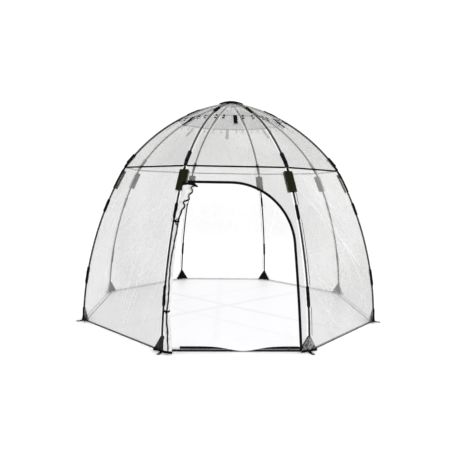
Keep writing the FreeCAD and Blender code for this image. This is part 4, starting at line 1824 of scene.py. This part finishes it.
@dataclass
class DoorZip:
    """Zip left on the front wall, its slider and the band along the threshold."""

    outline: DoorOutline = field(default_factory=DoorOutline)
    tape_width: float = 0.019
    tape_thickness: float = 0.0016
    coil_radius: float = 0.0021
    lift: float = 0.0026
    left_end: float = -0.440

    def __post_init__(self) -> None:
        """Find the front panel."""
        self.strip = Strip(WALL_FILM, 0.0)

    def on_film(self, place: Pair, lift: float) -> Vector:
        """Point over the film from a position across and a height."""
        return self.strip.point(WALL_FILM.at_height(place[1]), place[0], lift)

    def line(self, inset: float) -> list[Pair]:
        """Line of the zip, moved towards the doorway by inset.

        Args:
            inset: distance towards the doorway.

        Returns:
            Places along it.
        """
        run = [p for p in self.outline.open_side() if p[0] > self.left_end]
        run += [p for p in self.outline.threshold() if p[0] > self.left_end]
        moved = []
        for number, place in enumerate(run):
            before, after = run[max(number - 1, 0)], run[min(number + 1, len(run) - 1)]
            along = Vector((after[0] - before[0], after[1] - before[1])).normalized()
            moved.append((place[0] + along.y * inset, place[1] - along.x * inset))
        return moved

    def flat_strip(self, name: str, outer: float, inner: float, lift: float, thickness: float) -> Piece:
        """Band between two lines beside the outline.

        Args:
            name: name of the piece.
            outer: inset of its outer edge.
            inner: inset of its inner edge.
            lift: height off the film.
            thickness: thickness.

        Returns:
            The new object.
        """
        rows = [self.line(outer), self.line((outer + inner) / 2), self.line(inner)]
        points = [self.on_film((x, max(z, 0.012)), lift) for row in rows for x, z in row]
        piece = new_mesh(name, points, grid_faces(len(rows), len(rows[0])))
        thicken(piece, thickness)
        return piece

    def fit(self, slot: str, replaces: Sequence[str] = ()) -> Fit:
        """Fit of a piece on the front wall."""
        return Fit("wall_1", slot, replaces, 0.0, WALL_KEEP)

    def sill_band(self) -> None:
        """Glossy band along the threshold, half under the white lip of the ground sheet."""
        low = WALL_FILM.at_height(0.020)
        path = [self.strip.point(low, x, 0.006 + 0.0016 * noise.noise(Vector((x * 9, 3, 1))))
                for x in spread(-0.530, 0.520, 60)]
        band = ribbon("threshold_band", path, Vector((0, -1, 0)), 0.010, 0.003)
        fit_piece(band, Finish.BAND, self.fit("zip_tape"))
        points, places = [], spread(-0.30, 0.40, 60)
        for row in range(5):
            for x in places:
                cover = math.exp(-(((x - 0.055) / 0.155) ** 2))
                low = 0.050 - 0.037 * cover
                height = low + (0.052 - low) * (1 - row / 4)
                wave = 0.0008 * noise.noise(Vector((x * 14, height * 20, 2)))
                points.append(self.on_film((x, height), 0.0085 + wave))
        lip = new_mesh("threshold_lip", points, grid_faces(5, len(places)))
        thicken(lip, 0.0006)
        fit_piece(lip, Finish.GROUND, self.fit("sheet_film"))

    def slider(self) -> None:
        """Zip slider with its bridge and pull."""
        low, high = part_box("zip_slider")
        centre = (low + high) / 2
        body = self.rounded("slider_shell", centre + Vector((0, 0.0015, 0.0055)), (0.028, 0.0065, 0.012))
        arch = [centre + Vector((x, -0.0035 - 0.0028 * math.sin(math.pi * (x + 0.008) / 0.016), 0.0055))
                for x in spread(-0.008, 0.008, 9)]
        bridge = tube("bridge", arch, 0.0011, UP)
        pull = self.rounded("pull", centre + Vector((0, -0.0035, -0.008)), (0.009, 0.002, 0.020))
        fit_piece(join("zip_slider_metal", [body, bridge, pull]), Finish.PULL_METAL,
                  Fit("zip_slider_body", "slider_metal", ["zip_slider"], 0.0, WALL_KEEP))

    def rounded(self, name: str, centre: Vector, size: Triple) -> Piece:
        """Plate with rounded outline, made of a squared circle lofted through its thickness.

        Args:
            name: name of the piece.
            centre: its middle.
            size: width, thickness and height.

        Returns:
            The new object.
        """
        points, sides = [], 28
        for depth, inset in ((-0.5, 0.80), (-0.3, 1.0), (0.3, 1.0), (0.5, 0.80)):
            for step in range(sides):
                angle = math.tau * step / sides
                x = math.copysign(abs(math.cos(angle)) ** 0.6, math.cos(angle)) * size[0] / 2 * inset
                z = math.copysign(abs(math.sin(angle)) ** 0.6, math.sin(angle)) * size[2] / 2 * inset
                points.append(centre + Vector((x, depth * size[1], z)))
        faces = grid_faces(4, sides, closed=True)
        faces += [list(range(sides))[::-1], [3 * sides + n for n in range(sides)]]
        return new_mesh(name, points, faces)

    def build(self) -> None:
        """Make the zip."""
        half = self.tape_width / 2
        tape = self.flat_strip("door_zip_tape", half, -half, self.lift, self.tape_thickness)
        fit_piece(tape, Finish.ZIP_TAPE, self.fit("zip_tape", ["door_zip"]))
        coil = [self.on_film(p, self.lift + 0.0022) for p in self.line(-0.009)]
        fit_piece(tube("door_zip_coil", coil, self.coil_radius, Vector((0, -1, 0)), 10), Finish.ZIP_COIL,
                  self.fit("zip_tape"))
        self.sill_band()
        self.slider()


@dataclass
class RolledDoor:
    """Door film rolled up beside the front-left rib: spread at the head, tied twice and flared at its foot."""

    turn_from_rib: float = math.radians(1.65)
    offset: float = 0.016
    span: Pair = (0.196, 1.506)
    turns: float = 9.0
    radius: float = 0.0205
    core: float = 0.16
    ties: tuple[float, ...] = (0.500, 1.190)
    flare_from: float = 1.215
    foot_shift: Pair = (0.020, 0.016)
    foot_half: Pair = (0.037, 0.0055)
    head_shift: float = 0.044
    head_half: Pair = (0.048, 0.013)
    film_width: float = 0.80
    zip_widths: Pair = (0.0155, 0.0120)
    crumpled_rows: int = 34
    keep: float = 0.20

    def __post_init__(self) -> None:
        """Find the line that the roll hangs on."""
        self.turn = -HALF_GORE + self.turn_from_rib
        self.arc = RibArc((RING[0] + self.offset, RING[1]), (FOOT[0] + self.offset, FOOT[1]), WALL_RADIUS)
        self.run = RodRun(self.arc, self.turn)

    def fit(self, slot: str, replaces: Sequence[str] = ()) -> Fit:
        """Fit of a piece on the front wall."""
        return Fit("wall_1", slot, replaces, 0.0, self.keep)

    def shape(self, distance: float) -> tuple[float, float, float, float]:
        """Shift across and outwards, and half sizes across and outwards, of the bundle's section.

        Args:
            distance: distance down the roll.

        Returns:
            The two shifts and the two half sizes.
        """
        pinch = 1.0 - 0.24 * sum(math.exp(-(((distance - tie) / 0.045) ** 2)) for tie in self.ties)
        across = out = self.radius * pinch
        shift_across = shift_out = 0.0
        if distance < self.ties[0]:
            share = smooth((self.ties[0] - distance) / (self.ties[0] - self.span[0]))
            across += share * (self.head_half[0] - across)
            out += share * (self.head_half[1] - out)
            shift_across = share * self.head_shift
        elif distance > self.flare_from:
            share = smooth((distance - self.flare_from) / (1.40 - self.flare_from))
            widen = smooth((distance - self.flare_from) / (self.span[1] - self.flare_from))
            across += widen * (self.foot_half[0] - across)
            out += share * (self.foot_half[1] - out)
            shift_across, shift_out = share * self.foot_shift[0], share * self.foot_shift[1]
        return shift_across, shift_out, across, out

    def place(self, distance: float, angle: float, share: float, extra: float = 0.0) -> Vector:
        """Point on a layer of the roll, share 1 being the outermost.

        Args:
            distance: distance down the roll.
            angle: angle round it.
            share: which layer.
            extra: distance off the layer.

        Returns:
            The point.
        """
        shift_across, shift_out, across, out = self.shape(distance)
        loose = noise.noise(Vector((math.cos(angle) * 1.3, math.sin(angle) * 1.3, distance * 12)))
        fine = noise.noise(Vector((math.cos(angle) * 3.3, math.sin(angle) * 3.3, distance * 40 + 7)))
        full = (self.core + (1 - self.core) * share) * (1 + (0.17 * loose + 0.10 * fine) * share)
        return self.run.point(distance, shift_across + (across * full + extra) * math.cos(angle),
                              shift_out + (out * full + extra) * math.sin(angle))

    def film(self) -> Piece:
        """The door's film wound up on itself.

        Returns:
            The film.
        """
        rows, steps = spread(*self.span, 104), int(self.turns * 24)
        points, depth, lines = [], [], []
        for distance in rows:
            for step in range(steps + 1):
                share = step / steps
                angle = math.tau * self.turns * share
                points.append(self.place(distance, angle, math.sqrt(share)))
                depth.append(smooth((self.turns * (1 - share) - 1.0) * 2))
                # Streaks stored as fold lines, painted darker as shade by the rolled film's material.
                lines.append(max(0.0, noise.noise(Vector((angle * 1.7, distance * 42, 5)))) ** 2 * 2.2)
        film = new_mesh("rolled_door_film", points, grid_faces(len(rows), steps + 1))
        float_attribute(film, "layer_depth", depth)
        float_attribute(film, "fold_line", lines)
        return film

    def zip_edge(self) -> Piece:
        """Black zip edge: crumpled below the head, then winding down the outside of the roll.

        Returns:
            The new object.
        """
        turns = ((0.196, 0.10), (0.24, 0.50), (0.28, 0.35), (0.34, 0.75), (0.40, 0.55), (0.46, 0.42),
                 (0.52, 0.60), (0.66, 0.95), (0.80, 1.45), (0.95, 1.35), (1.08, 1.05), (1.19, 1.30),
                 (1.30, 1.35), (1.42, 1.50), (1.50, 1.25))
        path, outward = [], []
        for distance in spread(self.span[0], self.span[1] - 0.012, 130):
            angle = float(np.interp(distance, [d for d, _ in turns], [a for _, a in turns]))
            ripple = smooth((self.ties[0] - distance) / 0.2)
            angle += 0.55 * ripple * math.sin(distance * 95) + 0.06 * math.sin(distance * 60)
            centre = self.place(distance, angle, 0.0)
            path.append(self.place(distance, angle, 1.0, 0.0022))
            outward.append((path[-1] - centre).normalized())
        points = []
        for number, point in enumerate(path):
            along = (path[min(number + 1, len(path) - 1)] - path[max(number - 1, 0)]).normalized()
            side = along.cross(outward[number]).normalized()
            width = self.zip_widths[0] if number < self.crumpled_rows else self.zip_widths[1]
            curl = 0.5 * math.sin(number * 0.55)
            for across, rise in ((-0.5, 0.0), (-0.25, 0.0012), (0.0, 0.0018), (0.25, 0.0012), (0.5, 0.0)):
                points.append(point + side * across * width * (1 - 0.4 * abs(curl)) + outward[number] * rise)
        edge = new_mesh("rolled_door_zip", points, grid_faces(len(path), 5))
        thicken(edge, 0.0012)
        return edge

    def head_fold(self) -> Piece:
        """Upper end of the door's zip, folded over where the film leaves the doorway's corner.

        Returns:
            The new object.
        """
        strip = Strip(WALL_FILM, 0.0)
        path = []
        for share in spread(0, 1, 26):
            x = -0.442 + 0.128 * share
            z = 1.289 - 0.020 * share**2 + 0.004 * math.sin(share * 19)
            path.append(strip.point(WALL_FILM.at_height(z), x, 0.010 + 0.004 * math.sin(share * 11)))
        return ribbon("rolled_door_head", path, self.run.outward(0.2), 0.019, 0.0030)

    def tie(self, name: str, distance: float, bow: bool) -> Piece:
        """Webbing wound round the roll, knotted in front.

        Args:
            name: name of the piece.
            distance: distance down the roll.
            bow: whether it is tied in a bow.

        Returns:
            The new object.
        """
        _, _, half, deep = self.shape(distance)
        ring = [self.run.point(distance + 0.004 * math.sin(a), (half * 1.10 + 0.001) * math.cos(a),
                               (deep * 1.10 + 0.001) * math.sin(a)) for a in spread(0, math.tau, 33)]
        along = (self.run.point(distance + 0.01, 0, 0) - self.run.point(distance, 0, 0)).normalized()
        parts = [self.band("ring", ring, along, 0.013)]
        front = deep * 1.10 + 0.003
        middle = -0.007 if bow else -0.012
        for side in (-1, 1):
            if bow:
                loop = [self.run.point(distance + 0.009 * math.sin(2 * a) - 0.003,
                                       middle + side * (0.004 + 0.023 * math.sin(a)),
                                       front + 0.004 + 0.007 * math.sin(a)) for a in spread(0, math.pi, 20)]
                parts.append(ribbon("loop", loop, along, 0.011, 0.0013))
            reach = 0.034 if bow else 0.022
            tail = [self.run.point(distance + reach * s, middle + side * (0.004 + 0.012 * s),
                                   front + 0.003 + 0.002 * math.sin(5 * s)) for s in spread(0, 1, 14)]
            parts.append(ribbon("tail", tail, self.run.outward(distance), 0.009, 0.0013))
        knot = [self.run.point(distance, middle + x, front + 0.003) for x in spread(-0.008, 0.008, 7)]

        def round_knot(row: int, angle: float) -> Pair:
            """Outline of the knot, fullest at its middle."""
            full = 1 - abs(row - 3) / 6
            return 0.0062 * full * math.cos(angle), 0.0078 * full * math.sin(angle)

        parts.append(loft("knot", knot, along, round_knot, 14))
        return join(name, parts)

    def band(self, name: str, path: Sequence[Vector], along: Vector, width: float) -> Piece:
        """Flat band round the roll, its width along it.

        Args:
            name: name of the piece.
            path: points round the roll.
            along: direction of its width.
            width: width.

        Returns:
            The new object.
        """
        centre = sum(path[:-1], Vector()) / (len(path) - 1)
        points = []
        for place in path:
            outward = (place - centre).normalized()
            for across, rise in ((-0.5, 0), (-0.5, 1), (0, 1.25), (0.5, 1), (0.5, 0)):
                points.append(place + along * across * width + outward * rise * 0.0013)
        return new_mesh(name, points, grid_faces(len(path), 5))

    def build(self) -> None:
        """Make the rolled door."""
        film = self.film()
        fit_piece(film, Finish.ROLL_FILM, self.fit("clear_film", ["door_roll"]))
        others = [self.zip_edge(), self.head_fold(), self.foot_hem()]
        for piece, finish in zip(others, (Finish.ZIP_TAPE, Finish.ZIP_TAPE, Finish.BLACK_CLOTH)):
            fit_piece(piece, finish, self.fit("zip_tape"))
        for number, (name, distance) in enumerate(zip(("door_tie_upper", "door_tie_lower"), self.ties)):
            fit_piece(self.tie(name, distance, number == 0), Finish.WEBBING,
                      self.fit("webbing", ["door_ties"] if number == 0 else []))
        LOG.info("rolled door film covers %.3f m2", sum(p.area for p in film.data.polygons))

    def foot_hem(self) -> Piece:
        """Bottom hem of the door, wound round the lower end of the roll.

        Returns:
            The new object.
        """
        points, rows, sides = [], spread(self.span[1] - 0.020, self.span[1] - 0.001, 6), 48
        for number, distance in enumerate(rows):
            swell = 0.0024 + 0.0012 * math.sin(math.pi * number / 5)
            points += [self.place(distance, math.tau * n / sides, 1.0, swell) for n in range(sides)]
        faces = grid_faces(len(rows), sides, closed=True) + [list(range(sides))[::-1]]
        return new_mesh("rolled_door_hem", points, faces + [[5 * sides + n for n in range(sides)]])


@dataclass
class GroundSheet:
    """Flat eight-sided sheet with fold marks, slightly raised and painted darker as shade, and a dark hem."""

    radius: float = 1.465
    height: float = 0.0030
    hem_width: float = 0.007
    fold_width: float = 0.024
    folds: tuple[Triple, ...] = ((0.62, 0.0, 0.55), (-0.70, 0.0, 0.55), (0.62, 0.48, 0.25),
                                 (-0.70, -0.46, 0.25), (1.52, 0.10, 0.20))

    def build(self) -> None:
        """Make the sheet and its hem."""
        reach = self.radius * SHRINK
        points, lines, rings, sides = [], [], 60, 128
        for ring in range(rings):
            share = ring / (rings - 1)
            for step in range(sides):
                angle = math.tau * step / sides
                local = (angle + HALF_GORE) % GORE_TURN - HALF_GORE
                far = max(share * reach / math.cos(local), 0.004)
                x, y = far * math.sin(angle), -far * math.cos(angle)
                mark = self.marks(x, y)
                wave = 0.0011 * noise.noise(Vector((x * 2.2, y * 2.2, 4))) + 0.0007 * mark
                points.append(Vector((x, y, self.height + wave)))
                lines.append(mark)
        faces = grid_faces(rings, sides, closed=True) + [list(range(sides))[::-1]]
        cloth = new_mesh("ground_sheet_film", points, faces)
        # The fold marks go to the material, which paints them darker as shade.
        float_attribute(cloth, "fold_line", lines)
        fit_piece(cloth, Finish.GROUND, Fit("ground", "sheet_film", ["ground_sheet"]))
        hem = self.hem()
        fit_piece(hem, Finish.BLACK_CLOTH, Fit("ground", "sheet_film"))

    def marks(self, x: float, y: float) -> float:
        """Fold marks that cross at the middle, and fainter ones beside them.

        Args:
            x: distance to the right.
            y: distance to the back.

        Returns:
            Strength from 0 to 1.
        """
        strength = 0.0
        for turn, shift, weight in self.folds:
            off = abs(-x * math.sin(turn) + y * math.cos(turn) - shift)
            strength = max(strength, weight * math.exp(-((off / self.fold_width) ** 2)))
        return strength

    def hem(self) -> Piece:
        """Dark bound edge of the sheet.

        Returns:
            The new object.
        """
        points = []
        for inset, rise in ((0.0, 0.0), (0.0, 0.0016), (self.hem_width, 0.0016), (self.hem_width, 0.0)):
            for index in range(GORES):
                turn = rib_turn(index + 1)
                far = self.radius - inset / SHRINK
                points.append(Vector((far * math.sin(turn), -far * math.cos(turn), 0.0026 + rise)))
        return new_mesh("ground_sheet_hem", points, grid_faces(4, GORES, closed=True))


# ---------------------------------------------------------------- frame finishes and studio


@dataclass(frozen=True)
class FrameFinishes:
    """Finishes of the rods, elbows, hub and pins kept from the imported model."""

    rods: Finish = Finish.ROD
    hub: Finish = Finish.MOULDING
    pins: Finish = Finish.STEEL

    def build(self) -> None:
        """Paint every kept node."""
        for name, node in frame["nodes"].items():
            if name.startswith(("upper_pole", "lower_pole")):
                self.paint(node, self.rods)
            elif name == "hub_body":
                self.paint(node, self.hub)
            elif name == "hub_pins":
                self.paint(node, self.pins)

    def paint(self, node: Piece, finish: Finish) -> None:
        """Put a finish in each material slot of a node.

        Args:
            node: the node.
            finish: its finish.
        """
        if not node.material_slots:
            node.data.materials.append(material(finish))
        for place in node.material_slots:
            place.material = material(finish)


@dataclass
class Studio:
    """Plain pale floor, soft light and the camera."""

    camera_place: Triple = (-0.2426, -4.741, 1.266)
    camera_turn: float = math.radians(2.41)
    camera_dip: float = math.radians(4.80)
    camera_roll: float = math.radians(0.957)
    lens: float = 36.0
    floor_size: float = 60.0
    sky: float = 1.07
    lamp_size: float = 4.0
    lamps: tuple[tuple[str, Triple, float], ...] = (
        ("key", (-3.5, -4.5, 5.0), 35), ("fill", (4.5, -3.5, 3.5), 110), ("back", (1.0, 5.0, 5.0), 30))

    def floor(self) -> None:
        """Wide floor."""
        half = self.floor_size / 2
        corners = ((-half, -half), (half, -half), (half, half), (-half, half))
        floor = new_mesh("studio_floor", [Vector((x, y, 0)) for x, y in corners], [[0, 1, 2, 3]])
        coat = Coat("pale floor", 0.9)
        tone = coat.noise(coat.place(), 3.0, 2.0)
        coat.tint(tone, (0.955, 0.955, 0.955), (0.965, 0.965, 0.965))
        coat.set(Specular_IOR_Level=0.05)
        floor.data.materials.append(coat.material)

    def light(self, name: str, place: Triple, power: float) -> None:
        """Large soft lamp aimed at the middle of the dome.

        Args:
            name: name of the lamp.
            place: where it stands.
            power: power in watts.
        """
        data = bpy.data.lights.new(name, "AREA")
        data.size, data.energy = self.lamp_size, power
        lamp = bpy.data.objects.new(name, data)
        lamp.location = place
        lamp.rotation_euler = (Vector((0, 0, 0.9)) - Vector(place)).to_track_quat("-Z", "Y").to_euler()
        bpy.context.scene.collection.objects.link(lamp)

    def camera(self) -> None:
        """Camera in front of the doorway."""
        data = bpy.data.cameras.new("camera")
        data.lens, data.sensor_width = self.lens, 36.0
        data.clip_end = 200.0
        eye = bpy.data.objects.new("camera", data)
        turn = Matrix.Rotation(-self.camera_turn, 4, "Z")
        turn = turn @ Matrix.Rotation(math.pi / 2 - self.camera_dip, 4, "X")
        eye.matrix_world = (Matrix.Translation(self.camera_place) @ turn
                            @ Matrix.Rotation(self.camera_roll, 4, "Z"))
        bpy.context.scene.collection.objects.link(eye)
        bpy.context.scene.camera = eye

    def build(self) -> None:
        """Set the studio up."""
        scene = bpy.context.scene
        world = bpy.data.worlds.new("studio")
        world.use_nodes = True
        world.node_tree.nodes["Background"].inputs["Color"].default_value = (1, 1, 1, 1)
        world.node_tree.nodes["Background"].inputs["Strength"].default_value = self.sky
        scene.world = world
        scene.view_settings.view_transform = "Standard"
        self.floor()
        for name, place, power in self.lamps:
            self.light(name, place, power)
        self.camera()


def main() -> None:
    """Build the greenhouse in order and report each part."""
    logging.basicConfig(level=logging.INFO, format="%(name)s: %(message)s")
    Studio().build()
    FrameFinishes().build()
    for index in range(1, GORES + 1):
        RoofGore(index).build()
        (FrontWall(index) if index == 1 else WallGore(index)).build()
        RibDressing(index).build()
    Crown().build()
    DoorZip().build()
    RolledDoor().build()
    GroundSheet().build()


if __name__ == "__main__":
    main()
